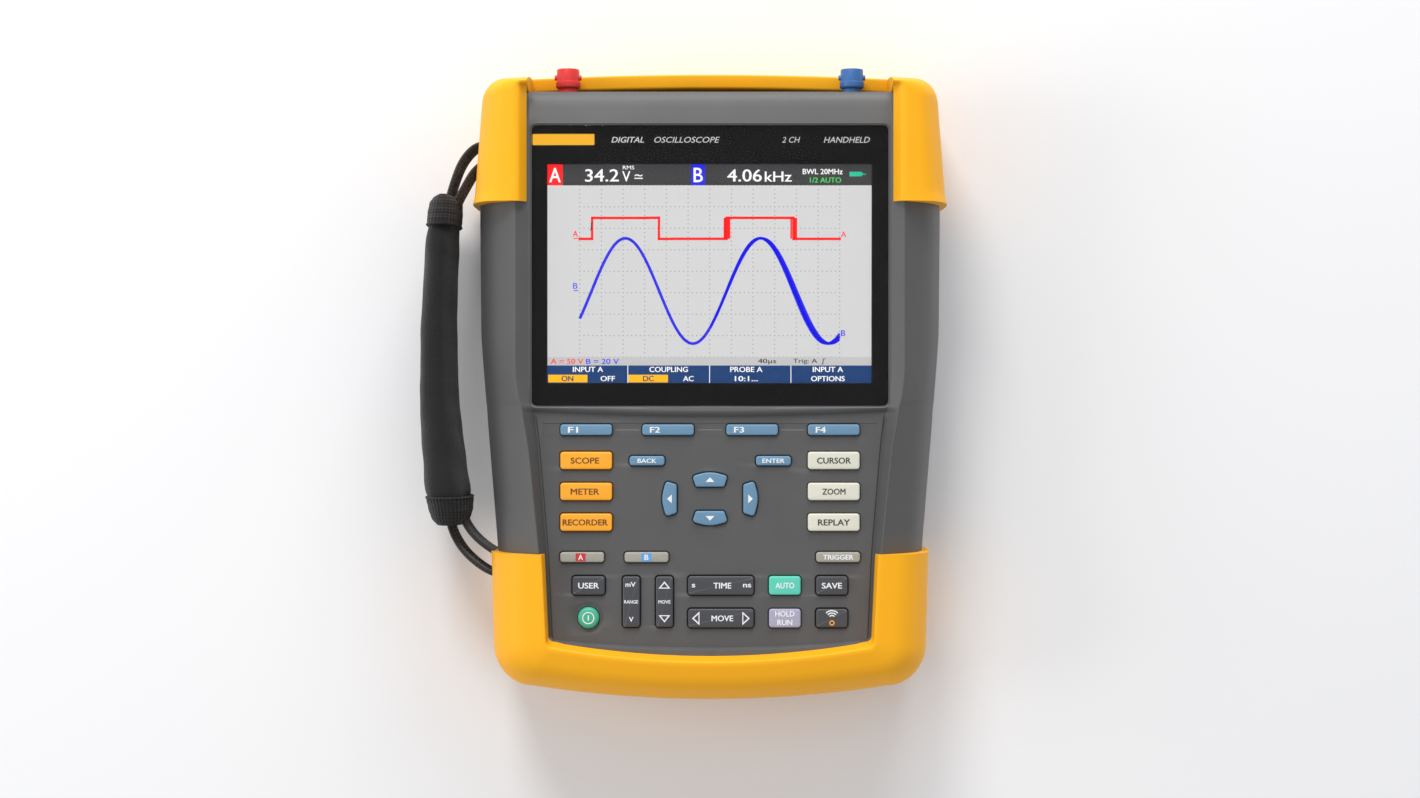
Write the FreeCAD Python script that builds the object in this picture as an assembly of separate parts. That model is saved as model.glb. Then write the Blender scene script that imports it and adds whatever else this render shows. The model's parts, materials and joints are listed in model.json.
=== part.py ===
import FreeCAD, Part
import math
import os

from FreeCAD import Vector

# Handheld two-channel oscilloscope, lying on its back with its screen up. Millimetres.
# +X is to the right of the screen, +Y towards the connectors, +Z out of the screen.
# The origin lies on the flat back of the case, under the middle of the body.

# ---------------------------------------------------------------- case: overall sizes
body_depth = 70.0            # back face to the crest of the bumpers
bumper_thickness = 3.0       # rubber outside the case
case_crest_z = body_depth - bumper_thickness
seam_z = 33.0                # top of the rear half of the case
seam_gap = 1.0               # gap between the halves, filled by the seal
wall = 2.5                   # wall of both halves
shoulder_half_width = 97.2   # widest place of the case, just below the top bumper
shoulder_y = 76.0
screen_half_width = 96.7     # case beside the lower part of the screen
screen_side_y = 20.0
bend_half_width = 93.2       # case beside the upper keys
bend_y = -24.0
waist_half_width = 89.4      # case where the bottom bumper starts
waist_y = -70.4
foot_half_width = 88.0       # case inside the bottom bumper's corners
foot_corner_y = -123.4
foot_end_y = -129.9
foot_bow_radius = 300.0
head_half_width = 93.2       # case inside the top bumper's corners
head_end_y = 128.6
head_corner_radius = 7.0
foot_corner_radius = 15.0
connector_bay_depth = 6.6    # the connectors' end wall lies this far inside the head end
connector_bay_half_width = 76.0
shelf_z = 28.0               # floor of the connector bay
back_inset = 6.0             # how far the back face lies inside the outline
back_edge_z = 9.0
belt_top_z = 42.0            # the sides stand upright up to here
shoulder_inset = 5.0         # the outline has come in this far where the front slope starts
shoulder_drop = 11.0         # that place lies this far below the crest
end_bevel_length = 4.6       # bevel of the front's end above the connectors
end_bevel_depth = 4.0

# ---------------------------------------------------------------- rails and levels of the front
rail_height = 3.0            # crest of the rails above the screen
panel_step = 2.0             # keypad panel below the screen level
step_y = -11.4               # where the panel steps down
rail_crest_x = 80.0          # crest of the rails beside the screen
rail_slope_width = 5.2       # inner slope of the rails beside the screen
rail_crest_low_y = 2.0       # below here the rails draw in
rail_bend_x = 74.8
rail_waist_x = 70.2
rail_foot_x = 68.2
rail_foot_y = -109.6
rail_end_y = -112.6
low_slope_width = 2.7        # inner slope beside the keys
crest_land = 1.2
rail_corner_radius = 8.0
screen_level_z = case_crest_z - rail_height
panel_level_z = screen_level_z - panel_step

# ---------------------------------------------------------------- bumpers
top_bumper_start_y = 77.0
cap_gap = 0.3                # corner caps to the edge of the front's flat middle
cap_skirt = 3.0              # rubber on the inner slope of the rails
bar_top_z = 30.0             # top of the bar behind the connectors

# ---------------------------------------------------------------- screen
window_width = 147.6
window_length = 116.2
window_centre_y = 49.6
window_thickness = 2.0
window_corner = 2.5
window_gap = 0.15
window_sink = 0.2            # the window lies this far below the screen level
view_width = 138.0           # hole in the case under the window
view_length = 94.0
view_centre_y = 46.6
lcd_margin = 6.0             # screen module beyond that hole
lcd_depth = 10.0
gasket_depth = 1.5
gasket_width = 3.6

# ---------------------------------------------------------------- keys
key_gap = 0.3                # clearance of a key in its hole
key_proud = 1.5              # how far a key stands out of the panel
key_travel = 1.0
key_flange = 1.0             # lip that keeps a key in
flange_thickness = 1.0
flange_gap = 0.2
key_corner = 1.2
stem_radius = 1.5
stem_gap = 0.8               # round a stem, in the key mat
dome_radius = 2.2
dome_height = 0.8
dome_gap = 0.1               # left over a dome when a key is pressed home
board_thickness = 1.6
key_mat_thickness = 1.2
key_mat_rim_width = 2.0
key_area_half_width = 64.0
key_area_top_y = -13.0
key_area_bottom_y = -103.0
arrow_width = 15.4
arrow_depth = 5.7
power_dish_radius = 7.0
power_dish_depth = 0.8
rocker_angle = 4.0           # a rocker tips this far each way, degrees
rocker_stem_inset = 3.4

# ---------------------------------------------------------------- connectors
bnc_x = 59.5
connector_z = 47.0
bnc_radius = 4.83
bnc_bore_radius = 4.05
bnc_bore_depth = 8.0
bnc_reach = 12.0             # barrel length outside the end wall
bnc_lug_span = 11.2
bnc_lug_radius = 0.95
bnc_lug_back = 4.8           # lugs behind the barrel's mouth
bnc_core_radius = 2.3
bnc_pin_hole_radius = 0.7
bnc_flange_radius = 7.5
bnc_body_radius = 6.0
bnc_body_length = 11.0
socket_spacing = 19.05
socket_radius = 6.2
socket_bore_radius = 2.05
socket_sleeve_radius = 3.1
socket_groove_radius = 4.2
socket_groove_depth = 11.0
socket_reach = 2.0
socket_length = 14.0         # inside the end wall's outer face

# ---------------------------------------------------------------- back: battery, door, stand
bay_half_width = 46.0
bay_low_y = 47.0
bay_high_y = 111.0
bay_depth = 23.0
bay_wall = 2.0
battery_gap = 0.5
door_thickness = 2.2
door_lip = 4.0
door_tail = 13.5             # part of the door below the bay, with the locks
door_gap = 0.3
back_sink = 0.2              # door, locks and stand lie this far inside the back face
lock_x = 34.0
lock_y = 40.0
lock_radius = 4.5
lock_gap = 0.1
lock_shank_radius = 2.2
lock_shank_length = 3.0
lock_slot = 1.2
stand_half_width = 52.0
stand_hinge_y = 24.0
stand_foot_y = -72.0
stand_thickness = 5.0
stand_gap = 0.5
stand_pin_radius = 1.5
stand_pin_gap = 0.05
stand_pin_grip = 3.0         # length of a hinge pin held by the case
stand_pin_reach = 10.0       # length of a hinge pin inside the stand
stand_notch_half_width = 20.0
stand_notch_depth = 12.0

# ---------------------------------------------------------------- boards, frame and screws
board_z = 29.0
board_half_width = 79.0
board_low_half_width = 73.0
board_waist_y = -46.0
board_top_y = 105.0
board_bottom_y = -98.0
board_tongue_x = 89.0        # the board reaches out to the side sockets
frame_half_width = 76.0
frame_low_half_width = 70.0
frame_thickness = 2.0
post_radius = 3.5
post_places = [(66.0, 30.0), (66.0, -40.0), (60.0, -90.0), (66.0, 94.0)]
shield_x = 45.0
shield_width = 30.0
shield_y = 84.0
shield_length = 24.0
shield_height = 9.0
screw_y = [85.0, -2.0, -62.0]
screw_inset = 11.0           # screws from the outside of the case
screw_post_radius = 4.0
screw_radius = 1.5
screw_gap = 0.2
screw_head_radius = 2.8
screw_head_depth = 2.0
screw_recess_z = 16.0        # the screw heads sit at the bottom of deep holes in the back
screw_grip = 12.0            # screw length in the front half

# ---------------------------------------------------------------- side ports
port_y = 46.0
port_half_length = 23.0
port_half_height = 6.0
port_recess = 2.4
port_wall = 5.5              # wall that carries the ports, from the outside
port_body_depth = 10.0
port_hole_gap = 0.1
usb_a_y = 35.0
usb_a_size = (13.1, 5.7)
usb_a_mouth = (11.9, 4.5)
usb_mini_y = 49.0
usb_mini_size = (7.7, 3.9)
usb_mini_mouth = (6.9, 3.1)
charger_y = 61.0
charger_size = (9.0, 7.6)
charger_hole_radius = 3.15
charger_pin_radius = 0.65
cover_gap = 0.3
cover_hinge_radius = 1.0

# ---------------------------------------------------------------- hand strap
strap_post_radius = 1.6
strap_post_y = [98.5, -76.0]
strap_post_inset = 2.6       # posts from the outside of the case
strap_z = 32.0
strap_slot_half_height = 13.5
strap_slot_half_length = 6.0
strap_slot_depth = 4.5       # slot behind the middle of a post
strap_slot_wall = 2.0
strap_post_grip = 3.5        # length of a post held at each end
webbing_width = 22.0
webbing_thickness = 1.8
webbing_gap = 0.3
sleeve_height = 46.0

# ================================================================ helpers


def corner_arc(before, corner, after, radius):
    """Start, middle and end of the arc that rounds one corner of an outline."""
    to_before = (before - corner).normalize()
    to_after = (after - corner).normalize()
    half_angle = to_before.getAngle(to_after) / 2.0
    reach = radius / math.tan(half_angle)
    bisector = (to_before + to_after).normalize()
    middle = corner + bisector * (radius / math.sin(half_angle) - radius)
    return corner + to_before * reach, middle, corner + to_after * reach


def outline(corners, z):
    """Closed flat wire at height z through (x, y, radius) corners, each rounded by its radius."""
    points = [Vector(x, y, z) for x, y, _ in corners]
    count = len(points)
    pieces = []
    for i, (_, _, radius) in enumerate(corners):
        if radius <= 0:
            pieces.append((points[i], None, points[i]))
        else:
            pieces.append(corner_arc(points[i - 1], points[i], points[(i + 1) % count], radius))
    edges = []
    for i, (start, middle, end) in enumerate(pieces):
        if middle is not None:
            edges.append(Part.Arc(start, middle, end).toShape())
        edges.append(Part.LineSegment(end, pieces[(i + 1) % count][0]).toShape())
    return Part.Wire(edges)


def both_sides(right_half):
    """Whole outline from its right half, listed from the bottom middle to the top middle."""
    left_half = [(-x, y, r) for x, y, r in reversed(right_half) if x > 0]
    return right_half + left_half


def prism(corners, z_low, z_high):
    """Upright solid over a rounded outline."""
    face = Part.Face(outline(corners, z_low))
    return face.extrude(Vector(0, 0, z_high - z_low))


def stack(levels):
    """Solid whose rounded outline changes in straight runs from level to level."""
    wires = [outline(corners, z) for corners, z in levels]
    layers = [Part.makeLoft([low, high], True, True) for low, high in zip(wires, wires[1:])]
    solid = layers[0]
    if len(layers) > 1:
        solid = layers[0].fuse(layers[1:])
    return solid


def block(x_low, x_high, y_low, y_high, z_low, z_high):
    """Box between two corners."""
    size = (x_high - x_low, y_high - y_low, z_high - z_low)
    return Part.makeBox(*size, Vector(x_low, y_low, z_low))


def rod(x, y, z, radius, length, direction=(0, 0, 1)):
    """Round bar from a point along a direction."""
    return Part.makeCylinder(radius, length, Vector(x, y, z), Vector(*direction))


def rectangle(x, y, width, length, radius):
    """Corners of a rounded rectangle about (x, y)."""
    a = width / 2.0
    b = length / 2.0
    return [(x - a, y - b, radius), (x + a, y - b, radius), (x + a, y + b, radius), (x - a, y + b, radius)]


def biggest(shape):
    """The largest solid of a shape, without slivers that a cut may leave."""
    return max(shape.Solids, key=lambda solid: solid.Volume)


def tidy(shape):
    """One clean solid from a boolean result."""
    return biggest(shape.removeSplitter())


def mirrored(shape):
    """Copy on the other side of the body's middle."""
    return shape.mirror(Vector(0, 0, 0), Vector(1, 0, 0))


def save(name, solids):
    """Write one node as STEP: a single solid, or a group of separate ones."""
    shape = solids
    if isinstance(solids, list):
        shape = Part.makeCompound(solids)
    shape.exportStep("parts/" + name + ".step")
    print(name, len(shape.Solids), round(shape.Volume / 1000.0, 2), shape.isValid())


# ================================================================ levels worked out from the sizes

connector_face_y = head_end_y - connector_bay_depth
panel_back_z = panel_level_z - wall
window_seat_z = screen_level_z - window_sink - window_thickness
lcd_top_z = panel_back_z - gasket_depth
frame_top_z = lcd_top_z - lcd_depth
flange_top_z = panel_back_z - flange_gap
flange_low_z = flange_top_z - flange_thickness
mat_top_z = flange_low_z - key_travel - dome_gap
mat_low_z = mat_top_z - key_mat_thickness
key_board_top_z = mat_low_z - dome_gap - dome_height - dome_gap - 0.4
stem_low_z = key_board_top_z + dome_height + dome_gap + key_travel
key_top_z = panel_level_z + key_proud
stand_axis_z = back_sink + stand_thickness / 2.0
seam_top_z = seam_z + seam_gap


def case_side(y):
    """Half width of the case at a place along it, between its bends."""
    bends = [
        (foot_corner_y, foot_half_width),
        (waist_y, waist_half_width),
        (bend_y, bend_half_width),
        (screen_side_y, screen_half_width),
        (shoulder_y, shoulder_half_width),
        (head_end_y, head_half_width),
    ]
    for (y_low, x_low), (y_high, x_high) in zip(bends, bends[1:]):
        if y <= y_high:
            break
    return x_low + (x_high - x_low) * (y - y_low) / (y_high - y_low)


# ================================================================ outlines


def case_outline(inset):
    """Plan of the case, drawn in by an inset on all sides."""
    return both_sides([
        (0.0, foot_end_y + inset, foot_bow_radius),
        (foot_half_width - inset, foot_corner_y + inset, foot_corner_radius),
        (waist_half_width - inset, waist_y, 0),
        (bend_half_width - inset, bend_y, 0),
        (screen_half_width - inset, screen_side_y, 0),
        (shoulder_half_width - inset, shoulder_y, 0),
        (head_half_width - inset, head_end_y - inset, head_corner_radius),
    ])


def rail_outline(slope, beside_keys, top_y):
    """Plan of the rails' crest, moved in by one width beside the screen and another beside the keys."""
    return both_sides([
        (0.0, rail_end_y + beside_keys * 1.7, foot_bow_radius),
        (rail_foot_x - beside_keys, rail_foot_y + beside_keys * 1.7, rail_corner_radius - beside_keys),
        (rail_waist_x - beside_keys, waist_y, 0),
        (rail_bend_x - beside_keys * 1.3, bend_y, 0),
        (rail_crest_x - slope, rail_crest_low_y, 0),
        (rail_crest_x - slope, shoulder_y, 0),
        (rail_crest_x - slope, top_y, head_corner_radius),
    ])


# ================================================================ solid shapes that several pieces share


def case_hull():
    """The case as one full block: sloped back edge, upright sides, two slopes up to the crest."""
    return stack([
        (case_outline(back_inset), 0.0),
        (case_outline(0.0), back_edge_z),
        (case_outline(0.0), belt_top_z),
        (case_outline(shoulder_inset), case_crest_z - shoulder_drop),
        (rail_outline(0.0, 0.0, head_end_y - shoulder_inset), case_crest_z),
    ])


def bumper_hull():
    """The same block one bumper thickness larger."""
    return stack([
        (case_outline(back_inset - bumper_thickness), 0.0),
        (case_outline(-bumper_thickness), back_edge_z),
        (case_outline(-bumper_thickness), belt_top_z),
        (case_outline(shoulder_inset - bumper_thickness), case_crest_z - shoulder_drop + bumper_thickness),
        (rail_outline(0.0, 0.0, head_end_y - shoulder_inset), body_depth),
    ])


def front_well(floor_z, crest_z):
    """Space over the sunk front, between the inner slopes of the rails."""
    beyond_y = head_end_y + connector_bay_depth
    return stack([
        (rail_outline(rail_slope_width, low_slope_width, beyond_y), floor_z),
        (rail_outline(crest_land, crest_land, beyond_y), crest_z),
    ])


def whole_front_well(crest_z):
    """The well with its two floors: the screen's level, and the keypad panel's below the step."""
    far = 2.0 * body_depth + shoulder_half_width
    screen = front_well(screen_level_z, crest_z).common(block(-far, far, step_y, far, 0.0, far))
    keys = front_well(panel_level_z, crest_z).common(block(-far, far, -far, step_y, 0.0, far))
    return screen.fuse(keys)


def connector_bay():
    """Open space at the head end, where the connectors stand out of their end wall."""
    reach = connector_bay_half_width
    return block(-reach, reach, connector_face_y, 2.0 * head_end_y, shelf_z, 2.0 * body_depth)


def end_bevel():
    """Wedge that slopes the front down to the connectors' end wall."""
    start = connector_face_y - end_bevel_length
    profile = Part.makePolygon([
        Vector(-connector_bay_half_width, start, screen_level_z),
        Vector(-connector_bay_half_width, connector_face_y + 1.0, screen_level_z),
        Vector(-connector_bay_half_width, connector_face_y + 1.0, screen_level_z - end_bevel_depth),
        Vector(-connector_bay_half_width, start, screen_level_z),
    ])
    return Part.Face(profile).extrude(Vector(2.0 * connector_bay_half_width, 0, 0))


def cavity():
    """Hollow inside the case, one wall inside its outline."""
    roof_z = panel_back_z
    hollow = stack([
        (case_outline(back_inset), wall),
        (case_outline(wall), back_edge_z),
        (case_outline(wall), belt_top_z),
        (case_outline(shoulder_inset + wall), case_crest_z - shoulder_drop - 1.0),
        (case_outline(shoulder_inset + 2.0 * wall), roof_z),
    ])
    far = 2.0 * shoulder_half_width
    return hollow.common(block(-far, far, -far, connector_face_y - wall, 0.0, body_depth))


def strap_slot(y, side):
    """Space round a strap post, open to the outside."""
    x = case_side(y) - strap_post_inset
    far = shoulder_half_width + 4.0 * bumper_thickness
    space = block(x - strap_slot_depth, far, y - strap_slot_half_length, y + strap_slot_half_length,
                  strap_z - strap_slot_half_height, strap_z + strap_slot_half_height)
    return space if side > 0 else mirrored(space)


def strap_pad(y, side):
    """Block of the case wall that a strap slot is sunk into."""
    x = case_side(y) - strap_post_inset
    margin = strap_slot_wall
    half_height = strap_slot_half_height + strap_post_grip
    pad = block(x - strap_slot_depth - margin, case_side(y) - wall / 2.0,
                y - strap_slot_half_length - margin, y + strap_slot_half_length + margin,
                strap_z - half_height, strap_z + half_height)
    return pad if side > 0 else mirrored(pad)


def strap_post(y, side):
    """Upright steel pin that the webbing loops round."""
    half_height = strap_slot_half_height + strap_post_grip
    x = side * (case_side(y) - strap_post_inset)
    return rod(x, y, strap_z - half_height, strap_post_radius, 2.0 * half_height)


def screw_spots():
    """Plan places of the case screws."""
    spots = [(case_side(y) - screw_inset, y) for y in screw_y]
    return spots + [(-x, y) for x, y in spots]


def board_spots():
    """Plan places of the posts between case, main board and frame."""
    return post_places + [(-x, y) for x, y in post_places]


# ================================================================ keys: name, x, y, width, length

RIGHT_COLUMN = 51.1
LEFT_COLUMN = -51.1
menu_rows = [-30.9, -43.7, -56.4]
soft_key_x = [-51.1, -17.3, 17.4, 51.1]
soft_key_y = -18.2
arrow_centre_y = -46.7

press_keys = [("key_f" + str(i + 1), x, soft_key_y, 22.0, 5.1) for i, x in enumerate(soft_key_x)]
press_keys += [(name, LEFT_COLUMN, y, 22.0, 7.8)
               for name, y in zip(["key_scope", "key_meter", "key_recorder"], menu_rows)]
press_keys += [(name, RIGHT_COLUMN, y, 22.0, 7.8)
               for name, y in zip(["key_cursor", "key_zoom", "key_replay"], menu_rows)]
press_keys += [
    ("key_back", -26.0, -31.0, 15.1, 4.5),
    ("key_enter", 26.2, -31.0, 15.1, 4.5),
    ("key_input_a", -52.8, -70.8, 18.8, 4.8),
    ("key_input_b", -26.2, -70.8, 18.8, 4.8),
    ("key_trigger", 52.9, -70.8, 18.8, 4.8),
    ("key_user", -50.1, -82.5, 14.0, 8.3),
    ("key_auto", 30.9, -82.5, 13.7, 8.3),
    ("key_hold", 30.9, -96.0, 13.7, 8.3),
    ("key_save", 50.3, -82.5, 13.6, 8.3),
    ("key_wireless", 50.3, -96.0, 13.6, 8.3),
]
arrow_keys = [
    ("key_up", 0.0, arrow_centre_y + 7.8, 0),
    ("key_left", -16.6, arrow_centre_y, 90),
    ("key_down", 0.0, arrow_centre_y - 7.9, 180),
    ("key_right", 16.6, arrow_centre_y, 270),
]
power_key = ("key_power", -50.2, -95.9, 4.5)
rocker_keys = [
    ("key_range", -32.5, -89.2, 7.7, 21.6),
    ("key_move_y", -18.8, -89.2, 7.7, 21.6),
    ("key_time", 4.5, -82.5, 27.7, 8.4),
    ("key_move_x", 4.5, -96.0, 27.7, 8.4),
]


def arrow_corners():
    """Arrow key about its own middle: bowed outer edge, sides drawn in towards the pad's middle."""
    half = arrow_width / 2.0
    low = -arrow_depth / 2.0
    return [(-half * 0.8, low, 1.0), (half * 0.8, low, 1.0), (half, arrow_depth * 0.3, 1.2),
            (0.0, arrow_depth / 2.0 + 0.6, 14.0), (-half, arrow_depth * 0.3, 1.2)]


def key_faces():
    """Flat face of every key that presses and every rocker, by name, at height zero."""
    faces = {}
    for name, x, y, width, length in press_keys + rocker_keys:
        corners = rectangle(x, y, width - 2.0 * key_gap, length - 2.0 * key_gap, key_corner)
        faces[name] = Part.Face(outline(corners, 0.0))
    for name, x, y, turn in arrow_keys:
        face = Part.Face(outline(arrow_corners(), 0.0))
        face.rotate(Vector(0, 0, 0), Vector(0, 0, 1), turn)
        face.translate(Vector(x, y, 0))
        faces[name] = face
    name, x, y, radius = power_key
    ring = Part.Wire(Part.makeCircle(radius, Vector(x, y, 0)))
    faces[name] = Part.Face(ring)
    return faces


def raised(face, grow, z_low, z_high):
    """Upright solid over a flat face grown sideways, between two heights."""
    grown = face
    if grow:
        grown = face.makeOffset2D(grow)
    solid = grown.extrude(Vector(0, 0, z_high - z_low))
    solid.translate(Vector(0, 0, z_low))
    return solid


def key_stems():
    """Stem places of each key: one under a key that presses, two under a rocker."""
    stems = {name: [(x, y)] for name, x, y, _, _ in press_keys}
    stems.update({name: [(x, y)] for name, x, y, _ in arrow_keys})
    stems[power_key[0]] = [(power_key[1], power_key[2])]
    for name, x, y, width, length in rocker_keys:
        reach_x = max(width / 2.0 - rocker_stem_inset, 0.0) if width > length else 0.0
        reach_y = max(length / 2.0 - rocker_stem_inset, 0.0) if length > width else 0.0
        stems[name] = [(x - reach_x, y - reach_y), (x + reach_x, y + reach_y)]
    return stems


def make_keys(faces, stems):
    """Every key: a cap through its hole, a lip under the panel, and stems down to the dome switches."""
    rocker_names = [name for name, _, _, _, _ in rocker_keys]
    for name, face in faces.items():
        solid = raised(face, 0.0, flange_low_z, key_top_z)
        if name not in rocker_names:
            solid = solid.fuse(raised(face, key_flange, flange_low_z, flange_top_z))
        for x, y in stems[name]:
            solid = solid.fuse(rod(x, y, stem_low_z, stem_radius, flange_low_z - stem_low_z + 0.5))
        save(name, tidy(solid))


# ================================================================ case


def front_case(hull, well, faces):
    """Front half: rails round a sunk front, with the window's seat, the key holes and inner posts."""
    far = 2.0 * shoulder_half_width
    upper = block(-far, far, -far, far, seam_top_z, 2.0 * body_depth)
    body = hull.common(upper)
    body = body.cut(well).cut(connector_bay()).cut(end_bevel())
    body = body.cut(cap_skirts()).cut(foot_skirt())
    inside = cavity()
    for y in strap_post_y:
        for side in (1, -1):
            inside = inside.cut(strap_pad(y, side))
    for x, y in screw_spots():
        inside = inside.cut(rod(x, y, 0.0, screw_post_radius, body_depth))
    body = body.cut(inside)
    seat = prism(rectangle(0.0, window_centre_y, window_width + 2.0 * window_gap,
                           window_length + 2.0 * window_gap, window_corner),
                 window_seat_z, case_crest_z)
    view = prism(rectangle(0.0, view_centre_y, view_width, view_length, window_corner),
                 seam_z, case_crest_z)
    body = body.cut(seat).cut(view)
    for face in faces.values():
        body = body.cut(raised(face, key_gap, panel_back_z - wall, case_crest_z))
    body = body.cut(rod(power_key[1], power_key[2], panel_level_z - power_dish_depth,
                        power_dish_radius, case_crest_z))
    for x in (-bnc_x, bnc_x):
        body = body.cut(rod(x, connector_face_y + 1.0, connector_z, bnc_body_radius,
                            2.0 * wall, (0, -1, 0)))
    for x in (-socket_spacing / 2.0, socket_spacing / 2.0):
        body = body.cut(rod(x, connector_face_y + 1.0, connector_z, socket_radius,
                            2.0 * wall, (0, -1, 0)))
    for x, y in screw_spots():
        body = body.cut(rod(x, y, seam_z, screw_radius, screw_grip + seam_gap))
    for y in strap_post_y:
        for side in (1, -1):
            body = body.cut(strap_slot(y, side)).cut(strap_post(y, side))
    return body


def battery_tub():
    """Walls and roof of the battery bay, with a thick rim for the door's recess."""
    roof_z = bay_depth + bay_wall
    walls = block(-bay_half_width - bay_wall, bay_half_width + bay_wall,
                  bay_low_y - bay_wall, bay_high_y + bay_wall, 0.0, roof_z)
    margin = door_lip + bay_wall
    rim = block(-bay_half_width - margin, bay_half_width + margin,
                bay_low_y - door_tail - bay_wall, bay_high_y + margin, 0.0, door_thickness + 2.0 * wall)
    return walls.fuse(rim)


def stand_pocket(grow):
    """Space of the folded tilt stand, or with grow the block round it."""
    clear = stand_gap + grow
    return block(-stand_half_width - clear, stand_half_width + clear,
                 stand_foot_y - clear, stand_hinge_y + stand_thickness / 2.0 + clear,
                 -1.0 if grow == 0 else 0.0, back_sink + stand_thickness + clear)


def rear_case(hull):
    """Back half: a tub with the battery bay, the stand's recess, posts and the side ports."""
    far = 2.0 * shoulder_half_width
    body = hull.common(block(-far, far, -far, far, 0.0, seam_z))
    body = body.cut(connector_bay())
    inside = cavity()
    inside = inside.cut(battery_tub())
    inside = inside.cut(stand_pocket(stand_pin_grip))
    for x, y in board_spots():
        inside = inside.cut(rod(x, y, 0.0, post_radius, board_z))
    for x, y in screw_spots():
        inside = inside.cut(rod(x, y, 0.0, screw_post_radius, body_depth))
    for y in strap_post_y:
        for side in (1, -1):
            inside = inside.cut(strap_pad(y, side))
    side = case_side(port_y)
    inside = inside.cut(block(side - port_wall, side, port_y - port_half_length - wall,
                              port_y + port_half_length + wall, 0.0, seam_z))
    body = body.cut(inside)
    body = body.cut(block(-bay_half_width, bay_half_width, bay_low_y, bay_high_y, -1.0, bay_depth))
    body = body.cut(block(-bay_half_width - door_lip, bay_half_width + door_lip,
                          bay_low_y - door_tail, bay_high_y + door_lip,
                          -1.0, back_sink + door_thickness + door_gap))
    for x in (-lock_x, lock_x):
        body = body.cut(rod(x, lock_y, 0.0, lock_shank_radius + door_gap,
                            door_thickness + lock_shank_length + 2.0 * door_gap))
    body = body.cut(stand_pocket(0.0))
    for pin in stand_pins():
        body = body.cut(pin)
    for x, y in screw_spots():
        body = body.cut(rod(x, y, screw_recess_z - 1.0, screw_radius + screw_gap, body_depth))
        body = body.cut(rod(x, y, -1.0, screw_head_radius + screw_gap, screw_recess_z + 1.0))
    recess = block(side - port_recess, far, port_y - port_half_length, port_y + port_half_length,
                   port_z() - port_half_height, port_z() + port_half_height)
    body = body.cut(recess)
    for shape in port_blocks(port_hole_gap):
        body = body.cut(shape)
    for y in strap_post_y:
        for sign in (1, -1):
            body = body.cut(strap_slot(y, sign)).cut(strap_post(y, sign))
    return body


def case_seal():
    """Rubber seal that fills the seam, a little inside the outline."""
    margin = 0.5
    ring = prism(case_outline(margin), seam_z, seam_top_z).cut(
        prism(case_outline(wall - margin), seam_z, seam_top_z))
    ring = ring.cut(block(-connector_bay_half_width, connector_bay_half_width,
                          connector_face_y, 2.0 * head_end_y, 0.0, body_depth))
    inner = block(-connector_bay_half_width - margin, connector_bay_half_width + margin,
                  connector_face_y - wall + margin, connector_face_y - margin, seam_z, seam_top_z)
    ring = ring.fuse(inner)
    for y in strap_post_y:
        for side in (1, -1):
            x = side * (case_side(y) - strap_post_inset)
            reach = strap_slot_depth + strap_slot_wall
            ring = ring.cut(block(x - reach, x + reach, y - strap_slot_half_length - margin,
                                  y + strap_slot_half_length + margin, seam_z, seam_top_z))
    return ring


# ================================================================ bumpers


def cap_skirts():
    """Rubber that lines the rails' inner slope under the corner caps."""
    foot_x = rail_crest_x - rail_slope_width
    inner = foot_x + cap_gap
    skirt = block(inner, inner + cap_skirt, top_bumper_start_y, 2.0 * head_end_y,
                  screen_level_z, 2.0 * body_depth)
    return skirt.fuse(mirrored(skirt))


def foot_skirt():
    """Rubber that lines the inner slope round the lower end of the keypad panel."""
    far = 2.0 * shoulder_half_width
    outer = rail_outline(rail_slope_width, low_slope_width - cap_skirt, head_end_y)
    skirt = prism(outer, panel_level_z, 2.0 * body_depth)
    return skirt.common(block(-far, far, -far, waist_y, 0.0, 2.0 * body_depth))


def top_bumper(bumper, hull, well):
    """Two corner caps joined by a bar behind the connectors."""
    far = 2.0 * head_end_y
    shape = bumper.common(block(-far, far, top_bumper_start_y, far, 0.0, far))
    shape = shape.cut(hull.cut(cap_skirts()))
    shape = shape.cut(well)
    foot_x = rail_crest_x - rail_slope_width
    inner = foot_x + cap_gap
    shape = shape.cut(block(-inner, inner, 0.0, connector_face_y, bar_top_z, far))
    reach = connector_bay_half_width
    shape = shape.cut(block(-reach, reach, connector_face_y - 1.0, far, bar_top_z, far))
    for side in (1, -1):
        shape = shape.cut(strap_slot(strap_post_y[0], side)).cut(strap_post(strap_post_y[0], side))
    return shape


def bottom_bumper(bumper, hull, well):
    """U of rubber round the lower end."""
    far = 2.0 * head_end_y
    shape = bumper.common(block(-far, far, -far, waist_y, 0.0, far))
    shape = shape.cut(hull.cut(foot_skirt()))
    shape = shape.cut(well)
    for side in (1, -1):
        shape = shape.cut(strap_slot(strap_post_y[1], side)).cut(strap_post(strap_post_y[1], side))
    return shape


# ================================================================ screen and keypad inside


def display_window():
    """Glass plate in its seat."""
    return prism(rectangle(0.0, window_centre_y, window_width, window_length, window_corner),
                 window_seat_z, window_seat_z + window_thickness)


def lcd_module():
    """Screen module under the hole in the case."""
    width = view_width + 2.0 * lcd_margin
    length = view_length + 2.0 * lcd_margin
    return prism(rectangle(0.0, view_centre_y, width, length, 1.0), frame_top_z, lcd_top_z)


def display_gasket():
    """Foam frame between the screen module and the case."""
    width = view_width + 2.0 * gasket_width + 1.0
    length = view_length + 2.0 * gasket_width + 1.0
    outer = prism(rectangle(0.0, view_centre_y, width, length, window_corner), lcd_top_z, panel_back_z)
    hole = prism(rectangle(0.0, view_centre_y, width - 2.0 * gasket_width,
                           length - 2.0 * gasket_width, window_corner), lcd_top_z, panel_back_z)
    return outer.cut(hole)


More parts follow.
